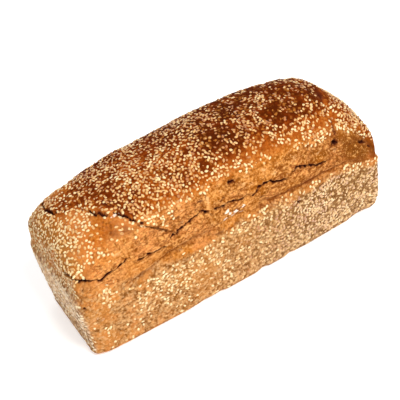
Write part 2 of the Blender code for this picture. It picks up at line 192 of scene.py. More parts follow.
@dataclass(frozen=True)
class LoafForm:
    """The loaf's main form: a cube from -1 to 1 whose walls become the tin's and whose top the crown."""

    base_length: float = 270 * MM
    base_width: float = 85 * MM
    side_flare: float = math.radians(6.2)
    end_flare: float = math.radians(2.3)
    side_bow: float = 2.8 * MM
    side_bow_fade: float = 0.75
    corner_radius: float = 9.5 * MM
    base_edge_radius: float = 5.5 * MM
    base_edge_share: float = 0.1
    rim_left: float = 67 * MM
    rim_right: float = 60.5 * MM
    rim_arch: float = 6.5 * MM
    rim_end_drop: float = 5 * MM
    rim_end_drop_from: float = 0.75
    end_ledge: float = 3 * MM
    end_ledge_from: float = 0.9
    rise_left: float = 46 * MM
    rise_right: float = 61.5 * MM
    fullness_across: float = 2.4
    fullness_left: float = 4.2
    fullness_right: float = 3.3
    centre_shift: tuple[float, float, float] = (0.7 * MM, 0.45 * MM, 0.0)
    map_along: float = 170 * MM
    map_across: float = 85 * MM

    groove_across: float = 86 * MM
    groove_width: float = 3.6 * MM
    groove_depth: float = 2.2 * MM
    groove_reach: float = 112 * MM
    groove_dip: float = 10 * MM
    groove_dip_from: Span = (50 * MM, 100 * MM)
    groove_fade: Span = (0.8, 1.1)
    shred_across: float = 76 * MM
    shred_width: float = 6 * MM
    shred_bulge: float = 1.0 * MM
    flap_step: float = 2.6 * MM
    flap_reach: float = 26 * MM
    flap_from: float = -30 * MM
    flap_to: float = 15 * MM
    flap_foot: Span = (-74 * MM, -64 * MM)
    lip_bulge: float = 1.0 * MM
    lip_reach: float = 9 * MM
    end_crease_along: float = 101 * MM
    end_crease_width: float = 4 * MM
    end_crease_depth: float = 1.2 * MM
    end_crease_fade: Span = (40 * MM, 60 * MM)
    lump_wavelength: float = 62 * MM
    lump_height: float = 0.8 * MM
    knob_wavelength: float = 21 * MM
    knob_height: float = 0.35 * MM
    wave_count: int = 14
    wave_spread: Span = (0.7, 1.4)
    arc_steps: int = 600

    def arc(self, share: Array, fullness: float, half_width: float, rise: float) -> tuple[Array, Array]:
        """Places on a quarter superellipse by share of its arc length.

        The curve is (sin t) ** (2 / n) out and (cos t) ** (2 / n) up, and its length is summed over
        short chords.

        Args:
            share: signed share of the arc, 0 at the top and 1 or -1 at the foot.
            fullness: the exponent n, 2 for an ellipse and more for a boxier curve.
            half_width: the curve's half axis outwards.
            rise: its half axis upwards.

        Returns:
            How far out and how far up each place is, as parts of the half axes.
        """
        angle = math.pi / 2 * np.linspace(0, 1, self.arc_steps) ** 2
        out = np.sin(angle) ** (2 / fullness)
        up = np.abs(np.cos(angle)) ** (2 / fullness)
        chords = np.hypot(np.diff(out) * half_width, np.diff(up) * rise)
        reached = np.concatenate([[0], np.cumsum(chords)]) / chords.sum()
        return np.sign(share) * np.interp(np.abs(share), reached, out), np.interp(np.abs(share), reached, up)

    def rounded(self, side_x: Array, side_y: Array, half_x: Array, half_y: Array) -> tuple[Array, Array]:
        """Bring points of a unit square's edge to a rectangle whose corners are rounded by arcs.

        Args:
            side_x: places along x, from -1 to 1.
            side_y: places along y, from -1 to 1.
            half_x: half the rectangle's length beside each.
            half_y: half its width beside each.

        Returns:
            The places along x and y on the rectangle.
        """
        radius = self.corner_radius
        x = side_x * half_x
        y = side_y * half_y
        core_x = np.clip(x, radius - half_x, half_x - radius)
        core_y = np.clip(y, radius - half_y, half_y - radius)
        reach = np.maximum(np.hypot(x - core_x, y - core_y), 1e-9)
        return core_x + radius * (x - core_x) / reach, core_y + radius * (y - core_y) / reach

    def rim(self, end_share: Array) -> Array:
        """Height of the tin's rim line: a slope, an arch over the middle and a drop at the +X end.

        Args:
            end_share: places along the loaf, from -1 to 1.

        Returns:
            The rim's height at each.
        """
        slope = self.rim_left + (self.rim_right - self.rim_left) * (end_share + 1) / 2
        drop = self.rim_end_drop * smooth_step(self.rim_end_drop_from, 1, end_share)
        return slope + self.rim_arch * (1 - end_share**2) - drop

    def bow(self, end_share: Array, level: Array | float) -> Array:
        """How far a long wall bows out: most at the middle of its foot, least at its ends."""
        return self.side_bow * (1 - end_share**2) * (1 - self.side_bow_fade * level)

    def surface(self, cube: Array) -> tuple[Array, Array]:
        """Bring points of the cube to the smooth loaf.

        Args:
            cube: places on the cube's top and walls, one row of three from -1 to 1 each.

        Returns:
            The points on the loaf, and the height of the rim line beside each.
        """
        half = self.base_length / 2
        mean_rise = (self.rise_left + self.rise_right) / 2
        left_out, left_up = self.arc(cube[:, 0], self.fullness_left, half, self.rise_left)
        right_out, right_up = self.arc(cube[:, 0], self.fullness_right, half, self.rise_right)
        out_x = np.where(cube[:, 0] > 0, right_out, left_out)
        up_x = np.where(cube[:, 0] > 0, right_up, left_up)
        out_y, up_y = self.arc(cube[:, 1], self.fullness_across, self.base_width / 2, mean_rise)
        ring = np.maximum(np.maximum(np.abs(out_x), np.abs(out_y)), 1e-9)
        side = out_x / ring, out_y / ring
        rim = self.rim(out_x)

        half_x = half + math.tan(self.end_flare) * rim - self.end_ledge
        half_y = self.base_width / 2 + math.tan(self.side_flare) * rim + self.bow(out_x, 1)
        x, y = self.rounded(*side, half_x, half_y)
        rise = self.rise_left + (self.rise_right - self.rise_left) * (x * ring / self.base_length + 0.5)
        crown = np.stack([x * ring, y * ring, rim + rise * up_x * up_y], axis=1)

        level = (cube[:, 2] + 1) / 2
        turn = np.clip(level / self.base_edge_share, 0, 1) * math.pi / 2
        inset = self.base_edge_radius * (1 - np.sin(turn))
        climb = (level - self.base_edge_share) / (1 - self.base_edge_share)
        straight = self.base_edge_radius + (rim - self.base_edge_radius) * climb
        rounded_foot = self.base_edge_radius * (1 - np.cos(turn))
        height = np.where(level < self.base_edge_share, rounded_foot, straight)
        ledge = self.end_ledge * smooth_step(self.end_ledge_from, 1, level)
        half_x = half + math.tan(self.end_flare) * height - inset - ledge
        half_y = self.base_width / 2 + math.tan(self.side_flare) * height - inset + self.bow(out_x, level)
        wall = np.stack([*self.rounded(*side, half_x, half_y), height], axis=1)
        return np.where(cube[:, 2:] > CUBE_EDGE, crown, wall), rim

    def crust_map(self, cube: Array, points: Array, rim: Array) -> tuple[Array, Array]:
        """Places on the crust map: the cube's own on the crown, going on with the depth below the rim.

        Args:
            cube: places on the cube.
            points: the same places on the smooth loaf.
            rim: the rim line's height beside each.

        Returns:
            The places along and across.
        """
        below = np.maximum(rim - points[:, 2], 0) * (cube[:, 2] < CUBE_EDGE)
        on_side = np.abs(cube[:, 1]) > CUBE_EDGE
        on_end = (np.abs(cube[:, 0]) > CUBE_EDGE) & ~on_side
        along = cube[:, 0] * self.map_along + np.sign(cube[:, 0]) * below * on_end
        across = cube[:, 1] * self.map_across + np.sign(cube[:, 1]) * below * on_side
        return along, across

    def cube_places(self, places: Array) -> Array:
        """Points of the cube for crust-map places in metres on the crown or a long wall.

        Args:
            places: one row of along and across each.

        Returns:
            The places on the cube.
        """
        side = np.clip(places[:, 0] / self.map_along, -1, 1)
        over = np.clip(places[:, 1] / self.map_across, -1, 1)
        below = np.maximum(np.abs(places[:, 1]) - self.map_across, 0)
        top = self.surface(np.column_stack([side, over, np.ones(len(side))]))[1]
        climb = (top - below - self.base_edge_radius) / (top - self.base_edge_radius)
        level = self.base_edge_share + (1 - self.base_edge_share) * climb
        return np.column_stack([side, over, np.where(below > 0, 2 * level - 1, 1)])

    def groove(self, along: Array) -> tuple[Array, Array]:
        """How much of the groove above the tin's rim is left at places along, and its place across."""
        fade = 1 - smooth_step(*self.groove_fade, np.abs(along) / self.groove_reach)
        return fade, self.groove_across + self.groove_dip * smooth_step(*self.groove_dip_from, -along)

    def waves(self, points: Array, wavelength: float, seed: int) -> Array:
        """Smooth unevenness from about -1 to 1: a sum of sine waves of random direction and length.

        Args:
            points: the places.
            wavelength: the waves' usual length.
            seed: which of the sums.

        Returns:
            The sum at each place.
        """
        random = np.random.default_rng(seed)
        direction = unit(random.normal(size=(self.wave_count, 3)))
        stretch = 2 * math.pi / (wavelength * random.uniform(*self.wave_spread, self.wave_count))
        phase = random.uniform(0, 2 * math.pi, self.wave_count)
        total = np.sin(points @ (direction * stretch[:, None]).T + phase).sum(axis=1)
        return total / math.sqrt(self.wave_count)


# ---- Tears ----

@dataclass(frozen=True)
class Nearest:
    """Where points lie beside a line: distance, offset, side (+1 on its left) and share of its length."""

    distance: Array
    offset: Array
    side: Array
    share: Array


def beside_line(points: Array, normals: Array, line: Array) -> Nearest:
    """Find each point's nearest place on a line of straight stretches.

    On a stretch from a to b it is a + s (b - a), with s = (p - a) . (b - a) / |b - a| ** 2 kept from 0
    to 1. The side is the sign of normal . ((b - a) x (p - nearest)).

    Args:
        points: the places, one row of three each.
        normals: the surface's outward directions there.
        line: the line's corners.

    Returns:
        Each point's place beside the line.
    """
    best = np.full(len(points), np.inf)
    offset = np.zeros((len(points), 3))
    side = np.zeros(len(points))
    share = np.zeros(len(points))
    steps = np.diff(line, axis=0)
    lengths = np.linalg.norm(steps, axis=1)
    reached = np.concatenate([[0], np.cumsum(lengths)]) / lengths.sum()
    for index, (start, step) in enumerate(zip(line, steps)):
        part = np.clip((points - start) @ step / (step @ step), 0, 1)
        away = points - start - part[:, None] * step
        distance = np.linalg.norm(away, axis=1)
        closer = distance < best
        best = np.where(closer, distance, best)
        offset = np.where(closer[:, None], away, offset)
        side = np.where(closer, np.sign((normals * np.cross(step, away)).sum(axis=1)), side)
        share = np.where(closer, reached[index] + part * lengths[index] / lengths.sum(), share)
    return Nearest(best, offset, side, share)


def within(points: Array, line: Array, reach: float) -> Array:
    """Which points lie in a line's box, widened by a reach all round."""
    return ((points >= line.min(axis=0) - reach) & (points <= line.max(axis=0) + reach)).all(axis=1)


@dataclass(frozen=True)
class Tear:
    """One tear in the crust, along a path of crust-map places, with all sizes in millimetres."""

    path: tuple[Place, ...]
    half_width: float = 0.74
    depth: float = 2.5
    lip: float = 0.45
    ragged: float = 0.6
    step: float = 1.2
    tip: float = 0.12
    tip_width: float = 0.3
    usual_width: float = 0.8
    swells: tuple[tuple[float, float, int], ...] = ((0.35, 23, 1), (0.3, 57, 2))
    width_range: Span = (0.4, 1.4)

    def places(self) -> Array:
        """The path in metres on the crust map, cut into short steps and made ragged.

        Returns:
            One row of along and across for each place.
        """
        corners = np.array(self.path) * MM
        lengths = np.linalg.norm(np.diff(corners, axis=0), axis=1)
        reached = np.concatenate([[0], np.cumsum(lengths)])
        count = max(2, round(reached[-1] / (self.step * MM)))
        at = np.linspace(0, reached[-1], count + 1)
        line = np.column_stack([np.interp(at, reached, corners[:, axis]) for axis in (0, 1)])
        seed = abs(corners[0, 0] * PATH_PRIMES[0] + corners[0, 1] * PATH_PRIMES[1]) / MM
        random = np.random.default_rng(int(seed))
        line[1:-1] += random.normal(0, self.ragged * MM, (count - 1, 2))
        return line

    def line(self, form: LoafForm) -> Array:
        """The tear's line on the smooth loaf."""
        return form.surface(form.cube_places(self.places()))[0]

    def tips(self, share: Array) -> Array:
        """How full the tear is at a share of its length: 0 at both tips and 1 in between."""
        return smooth_step(0, self.tip, share) * smooth_step(0, self.tip, 1 - share)

    def width_at(self, share: Array) -> Array:
        """Half width along the tear, in metres: thin at both tips, and uneven by sine waves in between.

        Args:
            share: shares of the tear's length, from 0 to 1.

        Returns:
            The half width at each.
        """
        number = abs(self.path[0][0]) + len(self.path)
        uneven = self.usual_width
        for height, pace, turn in self.swells:
            uneven = uneven + height * np.sin(share * pace + turn * number)
        full = self.tip_width + (1 - self.tip_width) * self.tips(share)
        return self.half_width * MM * full * np.clip(uneven, *self.width_range)


NEAR_TEARS = (
    Tear(((-157, -24), (-146, -40), (-143, -50), (-139, -59), (-133, -63), (-127, -67), (-120, -73),
          (-112, -71), (-103, -71), (-96, -67.5), (-94, -69)), half_width=0.88),
    Tear(((-92, -76), (-87, -75), (-82, -74), (-75, -75.5), (-68, -75), (-64, -77)), half_width=0.88),
    Tear(((-62, -72), (-57, -71), (-50, -68), (-44, -67), (-38, -66), (-31, -63.5), (-27, -66), (-22, -71))),
    Tear(((-20, -67), (-13, -69), (-7, -68), (-2, -69), (3, -71), (9, -69))),
    Tear(((13, -73), (18, -68.5), (23, -66.5), (29, -67), (36, -70.5), (44, -71)), half_width=0.88),
    Tear(((47, -70), (52, -66.5), (58, -67), (66, -70), (74, -72), (84, -73)), half_width=0.85),
)
FLAP_TEARS = (
    Tear(((-106, 69), (-117, 57), (-122, 41), (-127, 27), (-128, 17)), half_width=0.85),
    Tear(((-128, 17), (-127, 11), (-126, 6), (-122, 4)), half_width=1.1),
    Tear(((-122, 4), (-114, 2), (-109, -3), (-107, -10), (-104, -15)), half_width=0.35, depth=0.6),
    Tear(((-104, -15), (-101, -20), (-97, -25), (-94, -28)), half_width=0.8, ragged=0.8),
    Tear(((-91, -29), (-87, -32), (-84, -36), (-80, -41), (-79, -45)), half_width=0.78, ragged=0.8),
    Tear(((-79, -46), (-75, -51), (-70, -54.5), (-65, -60), (-57, -67)), half_width=0.42, depth=1.4),
)
FAR_TEARS = (
    Tear(((-120, 66), (-112, 70), (-104, 71), (-96, 68), (-89, 69))),
    Tear(((-92, 72), (-80, 74), (-71, 73), (-62, 70), (-54, 70)), half_width=0.95),
    Tear(((-50, 71), (-44, 73), (-36, 71), (-30, 67), (-21, 67), (-14, 70))),
    Tear(((-8, 70), (-2, 74), (6, 75), (13, 71), (21, 70)), half_width=0.9),
    Tear(((24, 73), (32, 71), (38, 72), (47, 69), (57, 66), (64, 69), (70, 68)), half_width=0.95),
    Tear(((75, 70), (83, 66), (90, 64), (98, 60), (104, 58))),
)
SMALL_TEARS = (
    Tear(((-95, -18), (-91, -21), (-88, -26)), 0.45, 1.4),
    Tear(((-52, -58), (-47, -59)), 0.5, 1.4),
    Tear(((-31, -55), (-26, -56.5)), 0.55, 1.6),
    Tear(((-14, -64), (-8, -62.5)), 0.4, 1.2),
    Tear(((-97, -91.5), (-91, -93), (-86, -91), (-80, -90)), 0.7, 1.1),
    Tear(((-90, -96), (-84, -94.5)), 0.6, 1.0),
    Tear(((-24, -91), (-14, -93), (-6, -92), (4, -93.5)), 0.6, 1.1),
    Tear(((10, -92), (22, -93), (30, -91.5), (42, -92)), 0.6, 1.1),
    Tear(((-62, -88), (-52, -89), (-46, -87)), 0.55, 1.0),
    Tear(((-45, -84), (-37, -82)), 0.5, 1.4),
    Tear(((18, -78), (23, -77.5)), 0.6, 1.6),
    Tear(((31, 57), (37, 58)), 0.5, 1.4),
    Tear(((-66, 61), (-61, 60)), 0.5, 1.4),
    Tear(((117, -63), (121, -64.5), (124, -63)), 1.1, 2.8, ragged=0.7),
    Tear(((127, -67), (130, -69.5)), 1.3, 2.6, ragged=0.7),
    Tear(((121, 12), (113, 5), (108, -3), (106, -8), (104, -14), (101, -22)), 1.0, 1.9, lip=0.8),
    Tear(((100, -27), (98, -33), (97, -40), (96, -48), (96, -55)), 0.7, 1.6, ragged=0.5),
    Tear(((128, 60), (134, 64)), 1.1, 2.6),
)
PITS = (
    Tear(((-2.6, -52.2), (-0.6, -53.2), (2.8, -53.4)), 1.8, 3.2, lip=0.2, ragged=0.2),
    Tear(((90.5, -60.2), (95.5, -61.2)), 2.4, 4.2, lip=0.2, ragged=0.1, tip=0.02),
    Tear(((-140.5, -93.5), (-139, -95)), 1.9, 2.6, lip=0.1, ragged=0.1),
    Tear(((49.9, -98.6), (51.8, -101.4)), 1.9, 2.8, lip=0.1, ragged=0.1),
    Tear(((-77, -46.6), (-75, -47.6)), 1.4, 2.2, lip=0.2, ragged=0.1),
    Tear(((65, 57.6), (67.4, 58.8)), 1.8, 2.8, lip=0.2, ragged=0.1),
    Tear(((-23, 62), (-21, 61.2)), 1.5, 2.4, lip=0.2, ragged=0.1),
)
TEARS = NEAR_TEARS + FLAP_TEARS + FAR_TEARS + SMALL_TEARS + PITS


# ---- Patches on the crust ----

@dataclass(frozen=True)
class Patches:
    """Soft-edged patches on the crust map, in millimetres.

    Each row is a place along and across, a reach along and across, and a strength.
    """

    rows: tuple[tuple[float, ...], ...]

    def on(self, along: Array, across: Array) -> Array:
        """The sum of each patch's strength times a bell both ways.

        Args:
            along: places along the crust map.
            across: places across it.

        Returns:
            The sum at each place.
        """
        total = np.zeros(len(along))
        for middle_along, middle_across, reach_along, reach_across, strength in self.rows:
            hump = strength * bell(along, middle_along * MM, reach_along * MM)
            total = total + hump * bell(across, middle_across * MM, reach_across * MM)
        return total

    def share(self, along: Array, across: Array) -> Array:
        """The sum kept from 0 to 1."""
        return np.clip(self.on(along, across), 0, 1)


def line_on(line: tuple[Place, ...], along: Array) -> Array:
    """A boundary's place across, in metres, at places along, from its corners in millimetres."""
    corners = np.array(line) * MM
    return np.interp(along, corners[:, 0], corners[:, 1])


TOASTED = Patches((
    (12, -18, 16, 6, 0.25), (66, -14, 16, 8, 0.22), (35, 2, 40, 9, 0.18), (-93, -8, 8, 12, 0.16),
    (-70, -30, 14, 7, 0.12), (98, -6, 9, 12, 0.2), (-45, -6, 20, 9, -0.14), (-14, -6, 12, 5, -0.1),
    (85, 10, 12, 8, -0.1), (110, -12, 5, 16, -0.4), (-20, 22, 22, 10, 0.16), (50, 30, 18, 8, 0.16),
    (-70, 26, 16, 8, 0.14),
))
SMOKED_AND_SHADED = Patches((
    (-112, 6, 13, 8, 0.42), (-103, -5, 6, 6, 0.3), (-124, 16, 8, 8, 0.2), (107, -21, 6, 20, 0.42),
    # the patch at 118 along and 26 across is painted shade towards the far top of the +X end
    (118, 26, 12, 24, 0.24), (45, -44, 60, 6, 0.38), (60, 44, 60, 6, 0.38), (-30, -46, 20, 5, 0.14),
))
AMBER = Patches((
    (-117, -57, 12, 9, 0.9), (-113, -40, 9, 11, 0.8), (-125, -20, 6, 12, 0.4), (45, -45, 55, 7, 0.75),
    (110, -22, 3, 12, 0.3), (-30, -47, 22, 5, 0.4), (60, 45, 55, 7, 0.5),
))
STAINED_AND_SHADED = Patches((
    # the patch at 101 along and -17 across is painted shadow under the ledge at the +X end
    (-91, -45, 7, 4, 0.8), (-97, -41, 6, 4, 0.4), (-84, -49, 4, 3, 0.4), (101, -17, 2.8, 4.6, 1.5),
    (118, -63, 9, 5, 0.5), (30, 62, 7, 3, 0.5),
))
FLOURED = Patches((
    (-11, -75.2, 1.9, 1.6, 1.0), (-8.6, -78.6, 1.9, 1.4, 1.0), (-2.6, -79.6, 2.1, 1.5, 1.0),
    (-5.5, -82.4, 1.6, 1.2, 0.9), (-12.6, -82, 1.7, 1.7, 0.9), (4, -78.4, 1.8, 1.5, 1.0),
    (3, -84.6, 1.5, 1.2, 0.8), (-92.5, -31.5, 3.4, 1.0, 1.0), (-88, 74, 3, 2, 0.9), (40, 79, 3, 2, 0.9),
))
SCORCHED_AND_SHADED = Patches((
    # partly scorched crust and partly painted shade, most of all at the +X end's near corner
    (118, -69, 17, 12, 1.8), (118, 68, 15, 12, 1.3), (-132, 72, 10, 10, 0.6), (80, -62, 34, 10, 0.35),
    (80, 62, 34, 10, 0.35), (150, -70, 16, 16, 1.0),
))
CORNERS = Patches((
    (-134, -82, 14, 12, 1.1), (-132, 84, 14, 10, 1.0), (-150, -80, 16, 13, 1.2), (-170, -50, 12, 30, 1.2),
    (-170, 30, 12, 60, 1.2), (170, 0, 9, 80, 0.8),
))
BARE = Patches((
    (14, -17, 15, 4, 0.9), (66, -14, 13, 5, 0.9), (-101, -34, 13, 13, 1.25), (-112, -44, 10, 7, 0.8),
    (-88, -56, 22, 9, 1.3), (-122, -61, 9, 5, 1.1), (111, -14, 5, 11, 1.1), (30, 20, 10, 5, 0.6),
    (-40, 34, 12, 4, 0.6), (118, -66, 12, 8, 1.2), (118, 64, 12, 8, 1.2), (-92, -12, 9, 7, 0.6),
    (-52, -17, 9, 3, 0.5), (20, 2, 12, 5, 0.4), (72, 0, 40, 16, 0.28), (40, -33, 4, 6, 0.4),
    (-113, 3, 12, 7, 0.8), (105, -22, 3, 14, 0.5), (-114, -62, 10, 5, 0.8),
))
CLUMPED = Patches((
    (-132, -9, 9, 12, 0.9), (-136, -34, 7, 16, 1.2), (-134, -46, 4.5, 9, 2.0), (-152, -34, 8, 13, 1.2),
    (-113, -46.5, 5, 2, 1.2), (-108, -56, 2.5, 6, 1.3), (20, -25, 12, 4, 0.7), (35, -48, 5, 4, 0.6),
    (29, -50, 3, 2, 1.0), (118, -39, 12, 9, 2.6), (-116.5, -96, 3, 6.5, 9.0), (125, -22, 9, 13, 3.0),
    (125, 22, 9, 20, 0.8), (-58, -28, 30, 8, 0.4), (-45, -5, 30, 7, 0.5), (-130, 40, 12, 20, 0.6),
    (-70, -115, 20, 11, 0.9), (-35, -114, 14, 9, 0.7), (-135, -118, 7, 3, 0.8), (-54, -108, 16, 6, 0.7),
    (-128, -128, 6, 3, 0.8), (-88, -138, 4, 8, 0.6), (-75, -138, 4, 5, 0.6), (54, -36, 16, 5, 0.4),
    (78, -38, 12, 5, 0.4), (-84, -2, 18, 12, 0.25), (-65, 112, 24, 12, 0.7), (40, 114, 30, 12, 0.6),
    (-5, 96, 14, 6, 0.5),
))
CROWN_SEED_EDGE = (
    (-170, -17), (-102, -60), (-80, -57), (-59, -55), (-43, -48), (-22, -49), (-11, -46), (4, -47), (29, -48),
    (45, -48), (62, -51), (85, -52), (96, -51), (113, -52), (132, -56), (170, -60),
)
TIN_SEED_EDGE = (
    (-170, -92), (-138, -104), (-120, -88), (-108, -92), (-102, -101), (-80, -97), (-59, -98), (-47, -101),
    (-37, -98), (-24, -98), (-5, -93), (19, -92), (45, -90), (63, -92), (91, -92), (106, -89), (170, -87),
)
FAR_SHIFT = 9 * MM
TOAST_EDGE = (
    (-170, -10), (-128, 12), (-110, 2), (-101, -16), (-88, -30), (-78, -42), (-60, -43), (-40, -42),
    (-10, -40), (15, -38), (45, -37), (75, -38), (96, -34), (102, -21), (108, -8), (116, 4), (170, 18),
)


# ---- The crust's mesh ----

@dataclass(frozen=True)
class CrustGrid:
    """A closed grid over the cube: the crown's grid, rings down the walls, and rings into the base."""

    columns: int = 272
    rows: int = 164
    wall_rings: int = 55
    base_rings: tuple[float, ...] = (0.985, 0.95, 0.88)
    row_gather: float = 1.1
    row_gather_at: float = 0.86
    row_gather_width: float = 0.12
    row_steps: int = 2000

    def row_places(self) -> Array:
        """Rows from -1 to 1, closer together at the shred of each long side.

        Returns:
            The rows' places, in order.
        """
        place = np.linspace(-1, 1, self.row_steps + 1)
        density = 1 + self.row_gather * bell(np.abs(place), self.row_gather_at, self.row_gather_width)
        reached = np.concatenate([[0], np.cumsum((density[1:] + density[:-1]) / 2)])
        return np.interp(np.linspace(0, 1, self.rows + 1), reached / reached[-1], place)

    def crown_places(self) -> Array:
        """The crown's grid on the cube's top, two values from -1 to 1 a row."""
        side, over = np.meshgrid(np.linspace(-1, 1, self.columns + 1), self.row_places(), indexing="ij")
        return np.column_stack([side.ravel(), over.ravel()])

    def rim_ring(self) -> Array:
        """The crown grid's outermost points, anticlockwise seen from above."""
        index = np.arange((self.columns + 1) * (self.rows + 1)).reshape(self.columns + 1, self.rows + 1)
        return np.concatenate([index[:-1, 0], index[-1, :-1], index[:0:-1, -1], index[0, :0:-1]])

    def quads(self) -> tuple[Array, Array]:
        """All four-sided faces, and the last ring, which one flat face closes.

        Returns:
            The faces as rows of four corners, and the corners of the last ring.
        """
        index = np.arange((self.columns + 1) * (self.rows + 1)).reshape(self.columns + 1, self.rows + 1)
        crown = np.stack([index[:-1, :-1], index[1:, :-1], index[1:, 1:], index[:-1, 1:]], axis=-1)
        ring = self.rim_ring()
        count = self.wall_rings + len(self.base_rings)
        rings = np.vstack([ring, index.size + np.arange(count * len(ring)).reshape(count, len(ring))])
        ahead = np.roll(rings, -1, axis=1)
        walls = np.stack([rings[:-1], rings[1:], ahead[1:], ahead[:-1]], axis=-1)
        return np.vstack([crown.reshape(-1, 4), walls.reshape(-1, 4)]), rings[-1]


def vertex_normals(points: Array, quads: Array) -> Array:
    """Outward directions at the points: the sum of half cross products of the faces' diagonals.

    Args:
        points: the corners' places.
        quads: the four corners of each face.

    Returns:
        A direction of length 1 for each point.
    """
    corner = points[quads]
    face = np.cross(corner[:, 2] - corner[:, 0], corner[:, 3] - corner[:, 1])
    total = np.zeros_like(points)
    for axis in range(3):
        weights = np.repeat(face[:, axis], 4)
        total[:, axis] = np.bincount(quads.ravel(), weights=weights, minlength=len(points))
    return unit(total)


def make_object(
    name: str, points: Array, faces: list[list[int]], values: dict[str, Array]
) -> bpy.types.Object:
    """A smooth mesh object with point attributes.

    Args:
        name: the object's and the mesh's name.
        points: the corners' places.
        faces: the corners of each face.
        values: attributes by name, with one number or one row of three for each corner.

    Returns:
        The object, linked to the scene.
    """
    mesh = bpy.data.meshes.new(name)
    mesh.from_pydata(points.tolist(), [], faces)
    for key, value in values.items():
        is_vector = value.ndim == 2
        layer = mesh.attributes.new(key, "FLOAT_VECTOR" if is_vector else "FLOAT", "POINT")
        layer.data.foreach_set("vector" if is_vector else "value", value.astype(np.float32).ravel())
    mesh.shade_smooth()
    mesh.validate()
    thing = bpy.data.objects.new(name, mesh)
    bpy.context.scene.collection.objects.link(thing)
    return thing


@dataclass(frozen=True)
class Spots:
    """Points of the smooth loaf: outward direction, place on the crust map and depth under the rim."""

    points: Array
    normals: Array
    along: Array
    across: Array
    below: Array

    @property
    def on_map(self) -> Array:
        """The crust-map places as points of a plane."""
        return flat(self.along, self.across)

    @property
    def facing_end(self) -> Array:
        """From 0 on the crown and the long walls to 1 on the end walls."""
        return smooth_step(*FACING_END, np.abs(self.normals[:, 0]))


@dataclass(frozen=True)
class Toasting:
    """How dark the crown is: dark on the crest from the oven, light at the torn sides, smoked in places, with
    painted shade at the +X end.
    """

    blur: float = 7 * MM
    wander: float = 3.5 * MM
    wander_size: float = 11 * MM
    shift: float = 4 * MM
    shift_size: float = 9 * MM
    far_shift: Change = Change(8 * MM, -14 * MM, 60, 100)
    crest: Change = Change(0.62, 0.12, -60, 10)
    # the edge's rise at the +X end partly paints the shade between the seeds on the end's slope
    edge: Change = Change(0.26, 0.28, 106, 114)
    under_seeds: float = 0.24
    usual_clumping: float = 0.4

    def inside(self, along: Array, across: Array, wander: Array) -> Array:
        """How far inside the toast's edge places are, from 0 to 1."""
        return smooth_step(-self.blur, self.blur, across - line_on(TOAST_EDGE, along) + wander)

    def darkness(self, at: Spots, torn: Array) -> Array:
        """From 0 at the torn sides to 1 on the darkest of the crest.

        Args:
            at: the smooth loaf's points.
            torn: how far the crust tore open at each.

        Returns:
            The darkness at each point.
        """
        wander = self.wander * layered_noise(at.points, self.wander_size, Draw.TOAST_WANDER)
        along = at.along + self.shift * value_noise(at.points, self.shift_size, Draw.TOAST_SHIFT)
        near = self.inside(along, at.across, wander)
        crest = np.minimum(near, self.inside(along + self.far_shift.at(at.along), -at.across, wander))
        dark = crest * self.crest.at(at.along)
        dark = dark + crest * TOASTED.on(at.along, at.across)
        dark = dark - self.under_seeds * crest * (clumping(at.points)[0] - self.usual_clumping)
        dark = dark + (1 - crest) * SMOKED_AND_SHADED.on(at.along, at.across)
        return self.edge.at(at.along) * (1 - torn) * (1 - crest) + dark


